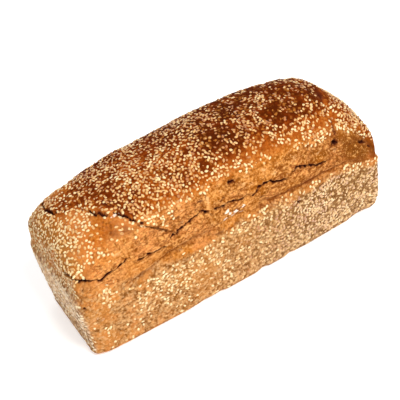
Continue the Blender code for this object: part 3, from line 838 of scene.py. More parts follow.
@dataclass
class Crust:
    """The whole crust as one closed mesh, with its relief, its tears and what its finish needs to know."""

    form: LoafForm
    grid: CrustGrid = field(default_factory=CrustGrid)
    toasting: Toasting = field(default_factory=Toasting)
    tears: tuple[Tear, ...] = TEARS
    gather: float = 0.62
    gather_reach: float = 4.2 * MM
    gather_edge: float = 5 * MM
    gather_within: float = 3       # how far off a tear the grid still moves, in reaches
    inset: float = 0.54 * MM
    still_foot: float = 2.5        # height of the unmoved foot, in radii of the base's edge

    torn_inset: float = 0.35 * MM
    torn_top: Span = (40 * MM, 56 * MM)
    torn_foot: Span = (88 * MM, 95 * MM)
    torn_reach: Span = (112 * MM, 128 * MM)
    torn_shift: Change = Change(6 * MM, -11 * MM, 0, 60)
    torn_corner: float = 0.8
    streak_height: float = 0.42 * MM
    streak_size: tuple[float, float, float] = (9 * MM, 2.5 * MM, 1.0)
    streak_top: float = 0.6
    streak_sharpness: float = 1.6
    bend: float = 4 * MM
    bend_size: float = 45 * MM
    crumble_height: float = 0.22 * MM
    crumble_size: float = 3.4 * MM

    fold_depth: float = 0.7 * MM
    # towards +X the fold grows wider and stronger, and with it the shade painted in the groove
    fold_width: Change = Change(1.3 * MM, 0.3 * MM, 0, 70)
    fold_strength: Change = Change(0.6, 0.4, 0, 70)
    fold_wander: float = 1.6 * MM
    fold_wander_size: float = 13 * MM
    fold_gaps: Span = (-0.6, 0.1)
    fold_gap_size: tuple[float, float, float] = (12 * MM, 3 * MM, 1.0)

    wrinkle_height: float = 0.16 * MM
    wrinkle_size: float = 5 * MM
    pore_height: float = 0.22 * MM
    pore_size: float = 2.6 * MM
    chip_height: float = 1.7 * MM
    chip_size: float = 16 * MM
    chip_stretch: tuple[float, float, float] = (1, 1, 0.3)
    chip_fade: Span = (2 * MM, 13 * MM)
    chip_end_fade: float = 0.85

    lip_at: float = 0.7 * MM
    lip_width: float = 0.8 * MM
    far_lip: float = 0.4
    tip_depth: float = 0.4
    sharpness: float = 0.8
    open_fade: Span = (0.7, 1.6)
    full_depth: float = 2.2 * MM
    cut_within: float = 4          # how far off its line a tear still shows, in half widths
    cut_margin: float = 2 * MM     # and past that

    tin_fade: float = 5 * MM
    baked_from: Span = (3 * MM, 14 * MM)
    baked_wander: float = 8 * MM
    baked_wander_size: float = 9 * MM
    baked_left: Change = Change(0.0, 9 * MM, -90, -118)
    baked_corner: float = 0.85
    end_ragged: float = 16 * MM
    end_ragged_size: float = 14 * MM
    end_from: Span = (-8 * MM, 12 * MM)
    far_end: float = 0.45
    mealy: Change = Change(0.4, 0.6, -60, 90)
    mealy_end: float = 0.9
    # the walls' lower part, which the finishes paint with light thrown up from the floor
    low: Span = (46 * MM, 6 * MM)

    points: Array = field(init=False)
    quads: Array = field(init=False)
    values: dict[str, Array] = field(init=False)

    def gathered(self, places: Array) -> Array:
        """Draw the crown's grid closer together beside the tears.

        Each place moves by -gather * exp(-(d / reach) ** 2) of its offset from the tear, less towards
        the grid's own edge, which stays where it is.

        Args:
            places: the grid's places, two values from -1 to 1 a row.

        Returns:
            The moved places.
        """
        scale = np.array([self.form.map_along, self.form.map_across])
        on_map = flat(*(places * scale).T)
        for tear in self.tears:
            if max(abs(across) for _, across in tear.path) * MM > self.form.map_across:
                continue
            line = flat(*tear.places().T)
            edge = (scale - np.abs(on_map[:, :2])).min(axis=1)
            near = within(on_map, line, self.gather_within * self.gather_reach)
            beside = beside_line(on_map[near], UP, line)
            pull = self.gather * bell(beside.distance, 0, self.gather_reach)
            pull = pull * smooth_step(0, self.gather_edge, edge[near])
            on_map[near] -= pull[:, None] * beside.offset
        return on_map[:, :2] / scale

    def cube(self) -> Array:
        """The grid's points on the cube; the base's rings are left at the foot of the walls.

        Returns:
            One row of three values from -1 to 1 for each point.
        """
        crown = self.gathered(self.grid.crown_places())
        ring = crown[self.grid.rim_ring()]
        levels = np.linspace(1, -1, self.grid.wall_rings + 1)[1:]
        levels = np.concatenate([levels, np.full(len(self.grid.base_rings), -1.0)])
        walls = np.column_stack([np.tile(ring, (len(levels), 1)), np.repeat(levels, len(ring))])
        return np.vstack([np.column_stack([crown, np.ones(len(crown))]), walls])

    def torn(self, at: Spots) -> Array:
        """How far the crust tore open in the oven, from 0 to 1: the band along each long side.

        Args:
            at: the smooth loaf's points.

        Returns:
            How far each point tore open.
        """
        away = np.abs(at.across)
        band = smooth_step(*self.torn_top, away) * (1 - smooth_step(*self.torn_foot, away))
        reached = smooth_step(*self.torn_reach, np.abs(at.along + self.torn_shift.at(at.along)))
        return np.maximum(band * (1 - reached), np.clip(CORNERS.on(at.along, at.across), 0, self.torn_corner))

    def streaks(self, at: Spots) -> Array:
        """The shred's streaks: top - sharpness * |noise|, with the noise drawn out along the loaf.

        Args:
            at: the smooth loaf's points.

        Returns:
            The streaks' height at each point.
        """
        bend = self.bend * value_noise(at.on_map, self.bend_size, Draw.BEND)
        noise = layered_noise(flat(at.along, at.across + bend), self.streak_size, Draw.STREAKS, 2)
        return self.streak_top - self.streak_sharpness * np.abs(noise)

    def fold(self, at: Spots) -> Array:
        """The crease in the groove above the tin's rim, broken up by noise; its brown is partly painted
        shade.

        Args:
            at: the smooth loaf's points.

        Returns:
            How strong the line is at each point, from 0 to 1.
        """
        fade, groove_at = self.form.groove(at.along)
        wander = self.fold_wander * value_noise(at.on_map, self.fold_wander_size, Draw.FOLD_WANDER)
        broken = smooth_step(*self.fold_gaps, value_noise(at.on_map, self.fold_gap_size, Draw.FOLD_GAPS))
        line = bell(np.abs(at.across), groove_at + wander, self.fold_width.at(at.along))
        return fade * self.fold_strength.at(at.along) * broken * line

    def baked(self, at: Spots, tin: Array) -> Array:
        """Where the crust baked against the tin, from 0 to 1, with a wandering upper edge.

        Args:
            at: the smooth loaf's points.
            tin: how far each point is part of the tin's walls.

        Returns:
            How far each point baked against the tin.
        """
        higher = self.baked_wander * value_noise(at.points, self.baked_wander_size, Draw.BAKED)
        higher = higher + self.baked_left.at(at.along)
        baked = tin * smooth_step(*self.baked_from, at.below + higher)
        return np.maximum(baked, self.baked_corner * CORNERS.share(at.along, at.across))

    def end_wall(self, at: Spots, tin: Array) -> Array:
        """Where the end walls' crust turns paler and greyer, from 0 to 1.

        Args:
            at: the smooth loaf's points.
            tin: how far each point is part of the tin's walls.

        Returns:
            How far each point turns paler and greyer.
        """
        ragged = at.below + self.end_ragged * layered_noise(at.points, self.end_ragged_size, Draw.END_WALL)
        paler = at.facing_end * smooth_step(*self.end_from, ragged) * tin
        return paler * np.where(at.along < 0, 1, self.far_end)

    def main_relief(self, at: Spots) -> Array:
        """How far the main forms stand out: groove, shred, crown lip, flap step, end crease and lumps.

        Args:
            at: the smooth loaf's points.

        Returns:
            The height at each point.
        """
        form = self.form
        away = np.abs(at.across)
        fade, groove_at = form.groove(at.along)
        groove = -form.groove_depth * fade * bell(away, groove_at, form.groove_width)
        shred = form.shred_bulge * fade * bell(away, form.shred_across, form.shred_width)

        rows = NEAR_TEARS, FAR_TEARS, FLAP_TEARS
        near, far, flap = (beside_line(at.on_map, UP, joined(row)) for row in rows)
        lip = (near.side > 0) * (1 - smooth_step(0, form.lip_reach, near.distance))
        lip = lip + (far.side < 0) * (1 - smooth_step(0, form.lip_reach, far.distance))
        step = -form.flap_step * (flap.side < 0) * (1 - smooth_step(0, form.flap_reach, flap.distance))
        step = step * (1 - smooth_step(form.flap_from, form.flap_to, at.across))
        step = step * smooth_step(*form.flap_foot, at.across)

        crease = -form.end_crease_depth * bell(at.along, form.end_crease_along, form.end_crease_width)
        crease = crease * (1 - smooth_step(*form.end_crease_fade, away))
        uneven = form.lump_height * form.waves(at.points, form.lump_wavelength, Draw.LUMPS)
        uneven = uneven + form.knob_height * form.waves(at.points, form.knob_wavelength, Draw.KNOBS)
        return groove + shred + form.lip_bulge * lip + step + crease + uneven

    def relief(self, at: Spots, torn: Array, streak: Array, fold: Array, tin: Array) -> Array:
        """How far the crust stands out from the smooth loaf, but for its tears.

        Args:
            at: the smooth loaf's points.
            torn: how far the crust tore open at each.
            streak: the height of the shred's streaks there.
            fold: how deep the crease above the rim is there.
            tin: how far each point is part of the tin's walls.

        Returns:
            The main relief with streaks, the fold, wrinkles on the crown, pores in the walls, torn
            crumb and chips along the foot, less the inset that keeps it all inside the CAD box.
        """
        points = at.points
        wrinkle = layered_noise(points, self.wrinkle_size, Draw.WRINKLES) * (1 - torn) * (1 - tin)
        pore = layered_noise(points, self.pore_size, Draw.PORES, 2) * tin
        crumble = layered_noise(points, self.crumble_size, Draw.CRUMBLE, 2) * torn
        chips = np.minimum(layered_noise(points * self.chip_stretch, self.chip_size, Draw.CHIPS, 2), 0)
        chips = chips * (1 - smooth_step(*self.chip_fade, points[:, 2]))
        chips = chips * (1 - self.chip_end_fade * at.facing_end)

        rise = self.main_relief(at) + self.streak_height * streak - self.fold_depth * fold
        rise = rise + self.wrinkle_height * wrinkle + self.pore_height * pore + self.crumble_height * crumble
        rise = rise - self.inset - self.torn_inset * torn
        rise = rise * smooth_step(0, self.still_foot * self.form.base_edge_radius, points[:, 2])
        return rise + self.chip_height * chips * (points[:, 2] > 0)

    def cut(self, tear: Tear, at: Spots, rise: Array, seam: Array) -> None:
        """Sink a tear into the relief between raised lips, and mark how open each point in it is.

        A point at distance d sinks by depth * (1 - d / width) ** sharpness within the tear's width.

        Args:
            tear: the tear.
            at: the smooth loaf's points.
            rise: the relief, changed in place.
            seam: the marks from 0 to 1, changed in place.
        """
        line = tear.line(self.form)
        reach = self.cut_within * tear.half_width * MM + self.cut_margin
        near = within(at.points, line, reach)
        beside = beside_line(at.points[near], at.normals[near], line)
        width = tear.width_at(beside.share)
        tips = tear.tips(beside.share)
        deep = np.clip(1 - beside.distance / width, 0, 1) ** self.sharpness
        lip = tear.lip * MM * bell(beside.distance, width + self.lip_at, self.lip_width)
        lip = lip * (self.far_lip + (1 - self.far_lip) * (beside.side > 0))
        rise[near] += lip * tips - tear.depth * MM * deep * (self.tip_depth + (1 - self.tip_depth) * tips)
        fade = 1 - smooth_step(*self.open_fade, beside.distance / width)
        seam[near] = np.maximum(seam[near], min(1.0, tear.depth * MM / self.full_depth) * fade)

    def build(self) -> bpy.types.Object:
        """Make the crust: the smooth loaf's points move along its normals by the relief and the tears.

        Returns:
            The crust's object.
        """
        cube = self.cube()
        self.quads, last_ring = self.grid.quads()
        points, rim = self.form.surface(cube)
        ring_size = len(last_ring)
        base = np.arange(len(points) - ring_size * len(self.grid.base_rings), len(points))
        points[base, :2] *= np.repeat(self.grid.base_rings, ring_size)[:, None]
        points[base, 2] = 0
        normals = vertex_normals(points, self.quads)
        below = np.where(cube[:, 2] < CUBE_EDGE, rim - points[:, 2], 0)
        at = Spots(points, normals, *self.form.crust_map(cube, points, rim), below)

        torn = self.torn(at)
        streak = self.streaks(at) * torn
        tin = smooth_step(0, self.tin_fade, below)
        fold = self.fold(at)
        rise = self.relief(at, torn, streak, fold, tin)
        seam = np.zeros(len(points))
        for tear in self.tears:
            self.cut(tear, at, rise, seam)

        self.points = points + normals * rise[:, None] + self.form.centre_shift
        self.points[base, 2] = 0
        self.points[:, 2] = np.maximum(self.points[:, 2], 0)
        baked = self.baked(at, tin)
        end_wall = self.end_wall(at, tin)
        marks = {"scorch_and_shade": SCORCHED_AND_SHADED, "stain_and_shade": STAINED_AND_SHADED, "flour": FLOURED, "amber": AMBER}
        self.values = {
            "crust_map": at.on_map,
            "seam": seam,
            "torn": torn,
            "along": at.along / self.form.map_along,
            "fold": fold,
            "tin": tin,
            "baked": baked,
            "mealy": baked * np.maximum(self.mealy.at(at.along), self.mealy_end * end_wall),
            "streak": streak,
            "toast": self.toasting.darkness(at, torn) * (1 - tin),
            "end_wall": end_wall,
            # the walls' lower part, for painted floor light
            "low": tin * smooth_step(*self.low, points[:, 2]),
            **{key: patches.share(at.along, at.across) for key, patches in marks.items()},
        }
        faces = self.quads.tolist() + [last_ring[::-1].tolist()]
        return make_object("crust", self.points, faces, self.values)


def joined(tears: tuple[Tear, ...]) -> Array:
    """One line on the crust map through a row of tears, in metres."""
    return flat(*np.transpose([place for tear in tears for place in tear.path]) * MM)


# ---- Sesame ----

@dataclass(frozen=True)
class SeedShape:
    """One sesame seed: a flattened drop, blunt at one end and drawn to a point at the other."""

    length: float = 3.05 * MM
    width: float = 2.12 * MM
    thickness: float = 0.95 * MM
    sides: int = 8
    rings: tuple[float, ...] = (0.11, 0.42, 0.79)
    middle: float = 0.45
    fullest: float = 0.75
    roundness: float = 0.62
    foot_edge: Span = (0.22, -0.23)
    tip_heights: Span = (0.1, 0.1)

    def mesh(self) -> tuple[Array, Array, Array]:
        """Its points, its triangles, and how much of its foot each point is, from 0 on top to 1.

        At share t of the length the drop's half width and half thickness are those of the seed times
        sin(pi * t ** fullest) ** roundness, which is largest at t = 0.4.

        Returns:
            The points, the triangles' corners, and each point's share of the foot.
        """
        share = np.array(self.rings)
        full = np.sin(math.pi * share**self.fullest) ** self.roundness
        turn = 2 * math.pi * np.arange(self.sides) / self.sides
        x = np.repeat((share - self.middle) * self.length, self.sides)
        y = (full[:, None] * np.cos(turn) * self.width / 2).ravel()
        z = (full[:, None] * np.sin(turn) * self.thickness / 2).ravel()
        tips = np.array([[-self.middle * self.length, 0, 0], [(1 - self.middle) * self.length, 0, 0]])
        points = np.vstack([np.column_stack([x, y, z]), tips])
        ring = np.arange(len(share) * self.sides).reshape(len(share), self.sides)
        ahead = np.roll(ring, -1, axis=1)
        lower = np.stack([ring[:-1], ahead[:-1], ahead[1:]], axis=-1).reshape(-1, 3)
        upper = np.stack([ring[:-1], ahead[1:], ring[1:]], axis=-1).reshape(-1, 3)
        first = np.full(self.sides, ring.size)
        blunt = np.stack([first, ahead[0], ring[0]], axis=-1)
        point = np.stack([first + 1, ring[-1], ahead[-1]], axis=-1)
        heights = np.concatenate([np.tile(np.sin(turn), len(share)), self.tip_heights])
        foot = smooth_step(*self.foot_edge, heights)
        return points, np.vstack([lower, upper, blunt, point]), foot


def well_spaced(points: Array, gap: float) -> Array:
    """Which points to keep so that none lie closer than the gap.

    Close pairs are found in order of x. Then, round by round, a point is kept when it was drawn before
    all the undecided ones beside it, and those beside a kept one are dropped.

    Args:
        points: the places in the order they were drawn.
        gap: the least distance.

    Returns:
        True for each kept point.
    """
    order = np.argsort(points[:, 0])
    sorted_points = points[order]
    pairs = []
    for shift in range(1, len(points)):
        apart = sorted_points[shift:] - sorted_points[:-shift]
        if apart[:, 0].min() > gap:
            break
        close = np.flatnonzero((apart**2).sum(axis=1) < gap**2)
        pairs.append(np.column_stack([order[close], order[close + shift]]))
    pairs = np.vstack(pairs)
    kept = np.zeros(len(points), dtype=bool)
    undecided = np.ones(len(points), dtype=bool)
    while undecided.any():
        live = pairs[undecided[pairs].all(axis=1)]
        first = np.arange(len(points))
        np.minimum.at(first, live[:, 0], live[:, 1])
        np.minimum.at(first, live[:, 1], live[:, 0])
        new = undecided & (first == np.arange(len(points)))
        kept |= new
        beside = np.concatenate([pairs[new[pairs[:, 0]], 1], pairs[new[pairs[:, 1]], 0]])
        undecided &= ~new
        undecided[beside] = False
    return kept


@dataclass(frozen=True)
class Ground:
    """Places that seeds may fall on: height, crust-map place, clumping, edges' wander and clump patches."""

    height: Array
    along: Array
    across: Array
    clumps: Array
    wander: Array
    extra: Array

    def inside(self, line: tuple[Place, ...]) -> Array:
        """How far inside a seeded field's edge the places are; the far side's edge is shifted along."""
        edge = line_on(line, np.where(self.across < 0, self.along, self.along + FAR_SHIFT))
        return -np.abs(self.across) - edge


@dataclass
class Sesame(ABC):
    """Seeds laid on a part of the crust by a seeded draw and joined into one mesh."""

    crust: Crust
    name: str = ""
    random_seed: int = 0
    gap: float = 1.8 * MM
    sink: float = 0.0
    tilt: float = 0.12
    clear_of_tears: float = 2.0
    edge_wander: float = 3 * MM
    size_spread: tuple[float, float, float] = (0.12, 0.1, 0.12)
    size_range: Span = (0.7, 1.22)
    depth_spread: float = 0.17 * MM
    depth_range: Span = (-0.4 * MM, 0.18 * MM)
    tone_draw: Span = (1.4, 1.7)
    shape: SeedShape = field(default_factory=SeedShape)

    @abstractmethod
    def sown(self, ground: Ground) -> Array:
        """Seeds drawn per square millimetre at each place of the ground, in clumps."""

    @abstractmethod
    def here(self, normals: Array, tin: Array) -> Array:
        """Which faces belong to the field, by their directions and how far each is part of the tin."""

    def thickly(self, points: Array, along: Array, across: Array, seam: Array) -> Array:
        """Seeds drawn per square millimetre at each place, none of them in the tears.

        Args:
            points: the places.
            along: their places along the crust map.
            across: and across it.
            seam: how open a tear is at each, from 0 to 1.

        Returns:
            Seeds per square millimetre at each place.
        """
        clumps, fine = clumping(points)
        extra = CLUMPED.on(along, across)
        ground = Ground(points[:, 2], along, across, clumps, self.edge_wander * fine, extra)
        return self.sown(ground) * (1 - np.clip(self.clear_of_tears * seam, 0, 1))

    def build(self) -> bpy.types.Object:
        """Lay the seeds and join them.

        Returns:
            One object with all the field's seeds.
        """
        random = np.random.default_rng(self.random_seed)
        crust = self.crust
        normals = vertex_normals(crust.points, crust.quads)
        corners = np.vstack([crust.quads[:, :3], crust.quads[:, (0, 2, 3)]])
        where = crust.points[corners]
        area = np.linalg.norm(np.cross(where[:, 1] - where[:, 0], where[:, 2] - where[:, 0]), axis=1) / 2
        middle = {key: value[corners].mean(axis=1) for key, value in crust.values.items()}
        along, across = middle["crust_map"][:, 0], middle["crust_map"][:, 1]
        chance = area * self.thickly(where.mean(axis=1), along, across, middle["seam"])
        chance = chance * self.here(normals[corners].mean(axis=1), middle["tin"])

        draws = round(chance.sum() / MM**2)
        chosen = random.choice(len(corners), draws, p=chance / chance.sum())
        blend = random.dirichlet(np.ones(3), draws)[:, :, None]
        places = (where[chosen] * blend).sum(axis=1)
        kept = np.flatnonzero(well_spaced(places, self.gap))
        count = len(kept)
        places = places[kept]
        chosen = chosen[kept]
        up = unit((normals[corners[chosen]] * blend[kept]).sum(axis=1))
        up = unit(up + random.normal(0, self.tilt, (count, 3)))
        ahead = unit(np.cross(up, random.normal(size=(count, 3))))
        aside = np.cross(up, ahead)
        size = random.normal((1, 1, 1), self.size_spread, (count, 3)).clip(*self.size_range)
        depth = random.normal(0, self.depth_spread, count).clip(*self.depth_range) - self.sink
        places = places + up * depth[:, None]

        points, triangles, foot = self.shape.mesh()
        local = points[None] * size[:, None, :]
        laid = places[:, None] + local[..., :1] * ahead[:, None] + local[..., 1:2] * aside[:, None]
        laid = laid + local[..., 2:] * up[:, None]
        faces = (triangles[None] + len(points) * np.arange(count)[:, None, None]).reshape(-1, 3)
        keys = "toast", "mealy", "end_wall", "low"
        values = {key: np.repeat(middle[key][chosen], len(points)) for key in keys}
        values["tone"] = np.repeat(random.beta(*self.tone_draw, count), len(points))
        values["foot"] = np.tile(foot, count)
        log.info("%s has %d seeds", self.name, count)
        return make_object(self.name, laid.reshape(-1, 3), faces.tolist(), values)


@dataclass
class CrownSesame(Sesame):
    """Seeds on the crown and its flap, thicker to the left and down to an edge over the torn sides."""

    name: str = "sesame_crown"
    random_seed: int = 3
    sink: float = 0.12 * MM
    tilt: float = 0.24
    edge_blur: Span = (-4.5 * MM, 4 * MM)
    ends: Span = (110 * MM, 125 * MM)
    end_sides: Span = (-60 * MM, -48 * MM)
    plain: float = 0.02
    clumped: float = 0.34
    leftwards: Change = Change(0.0, 0.15, 40, -50)
    least_share: float = 0.04
    patched: float = 0.2

    def sown(self, ground: Ground) -> Array:
        """Clumps over the field, nearly none on its bare patches, and more on its clump patches.

        Args:
            ground: the places.

        Returns:
            Seeds per square millimetre at each place.
        """
        seeded = smooth_step(*self.edge_blur, ground.inside(CROWN_SEED_EDGE) + ground.wander)
        ends = smooth_step(*self.ends, np.abs(ground.along))
        seeded = np.maximum(seeded, ends * smooth_step(*self.end_sides, -np.abs(ground.across)))
        thick = self.plain + self.clumped * ground.clumps + self.leftwards.at(ground.along)
        bare = np.clip(1 - BARE.on(ground.along, ground.across), self.least_share, 1)
        return seeded * thick * bare + self.patched * ground.extra

    def here(self, normals: Array, tin: Array) -> Array:
        """All above the tin."""
        return tin < ON_WALL


@dataclass
class WallSesame(Sesame):
    """Seeds on walls that baked against the tin."""

    foot: Span = (1.5 * MM, 6 * MM)

    def on_side(self, normals: Array) -> Array:
        """Whether each face is more on a long wall than on an end wall."""
        return np.abs(normals[:, 1]) > np.abs(normals[:, 0])


@dataclass
class SideSesame(WallSesame):
    """Seeds on the long walls, in patches on the left and all over on the right."""

    name: str = "sesame_tin_sides"
    random_seed: int = 5
    gap: float = 1.9 * MM
    sink: float = 0.02 * MM
    edge_blur: float = 3 * MM
    more_wander: float = 2.2
    plain: float = 0.008
    clumped: float = 0.07
    patched: float = 0.08
    patch_clumped: float = 0.22
    right: Span = (-50 * MM, 80 * MM)
    right_plain: float = 0.06
    right_clumped: float = 0.26
    left_bare: Change = Change(0.0, 0.6, -95, -120)
    strong: float = 0.3
    low: Change = Change(0.45, 0.55, 8, 20)

    def sown(self, ground: Ground) -> Array:
        """Below a wandering edge, thinner at the foot and, off the patches, at the left end.

        Args:
            ground: the places.

        Returns:
            Seeds per square millimetre at each place.
        """
        below = self.more_wander * ground.wander - ground.inside(TIN_SEED_EDGE)
        seeded = smooth_step(-self.edge_blur, self.edge_blur, below)
        thick = self.plain + self.clumped * ground.clumps + self.patch_clumped * ground.clumps * ground.extra
        thick = thick + self.patched * ground.extra
        right = self.right_plain + self.right_clumped * ground.clumps
        thick = thick + right * smooth_step(*self.right, ground.along)
        foot = smooth_step(*self.foot, ground.height) * self.low.at(ground.height)
        return seeded * thick * foot * (1 - self.left_bare.at(ground.along) * (ground.extra < self.strong))

    def here(self, normals: Array, tin: Array) -> Array:
        """The long walls."""
        return (tin >= ON_WALL) & self.on_side(normals)


@dataclass
class EndSesame(WallSesame):
    """Seeds on the end walls, thicker towards the rim."""

    name: str = "sesame_tin_ends"
    random_seed: int = 7
    gap: float = 1.7 * MM
    sink: float = 0.2 * MM
    plain: float = 0.03
    clumped: float = 0.12
    upper: Span = (34 * MM, 56 * MM)
    upper_clumped: float = 0.2

    def sown(self, ground: Ground) -> Array:
        """Clumps, stronger near the rim and none at the foot.

        Args:
            ground: the places.

        Returns:
            Seeds per square millimetre at each place.
        """
        upper = smooth_step(*self.upper, ground.height)
        thick = self.plain + self.clumped * ground.clumps + self.upper_clumped * ground.clumps * upper
        return thick * smooth_step(*self.foot, ground.height)

    def here(self, normals: Array, tin: Array) -> Array:
        """The end walls."""
        return (tin >= ON_WALL) & ~self.on_side(normals)


# ---- Shader expressions ----

class Signal:
    """A socket that carries a number, place or colour, with the operators that the finishes use."""

    def __init__(self, sheet: "Sheet", socket: bpy.types.NodeSocket) -> None:
        """Wrap a socket of a sheet's node."""
        self.sheet = sheet
        self.socket = socket

    def _math(self, operation: str, first: Any, second: Any) -> "Signal":
        """A Math node on two values."""
        return self.sheet.node("ShaderNodeMath", {"operation": operation}, {0: first, 1: second})

    def __add__(self, other: "Signal | float") -> "Signal":
        """Sum."""
        return self._math("ADD", self, other)

    __radd__ = __add__

    def __sub__(self, other: "Signal | float") -> "Signal":
        """Difference."""
        return self._math("SUBTRACT", self, other)

    def __rsub__(self, other: "Signal | float") -> "Signal":
        """Difference from a number."""
        return self._math("SUBTRACT", other, self)

    def __mul__(self, other: "Signal | float") -> "Signal":
        """Product."""
        return self._math("MULTIPLY", self, other)

    __rmul__ = __mul__

    def size(self) -> "Signal":
        """Absolute value."""
        return self._math("ABSOLUTE", self, 0.0)

    def rising(self, low: float, high: float) -> "Signal":
        """A smooth step of this value from 0 at low to 1 at high."""
        settings = {"interpolation_type": "SMOOTHSTEP"}
        return self.sheet.node("ShaderNodeMapRange", settings, {"Value": self, 1: low, 2: high})


class Sheet:
    """One material's nodes."""

    def __init__(self, name: str) -> None:
        """A new material with its Principled shader.

        Args:
            name: the material's name.
        """
        self.material = bpy.data.materials.new(name)
        self.material.use_nodes = True
        self.tree = self.material.node_tree
        self.shader = self.tree.nodes["Principled BSDF"]

    def node(
        self, kind: str, settings: dict[str, Any], values: dict[str | int, Any], out: int | str = 0
    ) -> Signal:
        """Add a node.

        Args:
            kind: the node's type.
            settings: its own settings, and the stops of a ramp as (place, screen colour) pairs.
            values: a number, colour, or linked Signal for its input sockets, by name or index.
            out: the output that is wanted.

        Returns:
            That output.
        """
        node = self.tree.nodes.new(kind)
        for key, value in settings.items():
            if key == "stops":
                self._set_stops(node.color_ramp, value)
            else:
                setattr(node, key, value)
        self.feed(node, values)
        return Signal(self, node.outputs[out])

    def feed(self, node: bpy.types.Node, values: dict[str | int, Any]) -> None:
        """Set or link a node's input sockets."""
        for key, value in values.items():
            if isinstance(value, Signal):
                self.tree.links.new(value.socket, node.inputs[key])
            else:
                node.inputs[key].default_value = value

    def _set_stops(self, ramp: bpy.types.ColorRamp, stops: tuple[tuple[float, Screen], ...]) -> None:
        """Give a ramp its stops."""
        while len(ramp.elements) < len(stops):
            ramp.elements.new(0.5)
        for element, (place, colour) in zip(ramp.elements, stops):
            element.position = place
            element.color = shade(*colour)

    def position(self) -> Signal:
        """Object coordinates."""
        return self.node("ShaderNodeTexCoord", {}, {}, "Object")

    def attribute(self, name: str, out: str = "Fac") -> Signal:
        """A point attribute of the mesh."""
        return self.node("ShaderNodeAttribute", {"attribute_name": name}, {}, out)

    def noise(self, place: Signal, size: float, detail: float = 2.0, rough: float = 0.5) -> Signal:
        """Noise of about the given size, from -0.5 to 0.5 and mostly near 0."""
        values = {"Vector": place, "Scale": 1 / size, "Detail": detail, "Roughness": rough}
        return self.node("ShaderNodeTexNoise", {}, values) - 0.5

    def shaken(self, place: Signal, size: float, reach: float) -> Signal:
        """A place moved by up to half the reach each way by noise of the given size.

        Args:
            place: the place.
            size: the noise's size.
            reach: the whole width of the moves.

        Returns:
            The moved place.
        """
        values = {"Vector": place, "Scale": 1 / size, "Detail": 1.0}
        moved = self.node("ShaderNodeTexNoise", {}, values, "Color")
        moved = self.node("ShaderNodeVectorMath", {"operation": "SUBTRACT"}, {0: moved, 1: (0.5, 0.5, 0.5)})
        values = {0: moved, 1: (reach, reach, reach), 2: place}
        return self.node("ShaderNodeVectorMath", {"operation": "MULTIPLY_ADD"}, values)

    def flecks(self, place: Signal, size: float, out: str = "Distance") -> Signal:
        """Cells of about the given size: how far from each one's middle, or a random colour for each."""
        return self.node("ShaderNodeTexVoronoi", {}, {"Vector": place, "Scale": 1 / size}, out)

    def stretched(self, place: Signal, scale: tuple[float, float, float]) -> Signal:
        """A place with its axes scaled, for a pattern drawn out one way."""
        return self.node("ShaderNodeMapping", {}, {"Vector": place, "Scale": scale})

    def ramp(self, value: Signal, stops: tuple[tuple[float, Screen], ...]) -> Signal:
        """A colour for a value."""
        return self.node("ShaderNodeValToRGB", {"stops": stops}, {"Fac": value})

    def mixed(self, share: Signal, first: "Signal | Screen", second: "Signal | Screen") -> Signal:
        """The first colour turned to the second by a share.

        Args:
            share: how far to turn, from 0 to 1.
            first: the colour at 0.
            second: the colour at 1.

        Returns:
            The mixed colour.
        """
        values = {0: share}
        for socket, colour in ((6, first), (7, second)):
            values[socket] = shade(*colour) if isinstance(colour, tuple) else colour
        return self.node("ShaderNodeMix", {"data_type": "RGBA", "clamp_factor": True}, values, 2)

    def layered(self, colour: Signal, *coats: "tuple[Signal | Screen, Signal]") -> Signal:
        """A colour with others laid over it in turn, each as far as its share."""
        for coat, share in coats:
            colour = self.mixed(share, colour, coat)
        return colour

    def bump(self, height: Signal, distance: float, strength: float) -> Signal:
        """A bumped normal."""
        values = {"Height": height, "Distance": distance, "Strength": strength}
        return self.node("ShaderNodeBump", {}, values)


def shade(red: int, green: int, blue: int) -> tuple[float, float, float, float]:
    """A colour as seen on a screen, 0 to 255, as the linear colour that looks so in the studio's light.

    Each channel c becomes ((c + 0.055) / 1.055) ** 2.4, or c / 12.92 where it is very dark, and is
    divided by the light's level.

    Args:
        red: the red channel.
        green: the green channel.
        blue: the blue channel.

    Returns:
        The linear colour with its alpha.
    """
    channels = (channel / 255 for channel in (red, green, blue))
    linear = (((c + 0.055) / 1.055) ** 2.4 if c > 0.04045 else c / 12.92 for c in channels)
    return (*(channel / LIGHT_LEVEL for channel in linear), 1.0)


# ---- Finishes ----

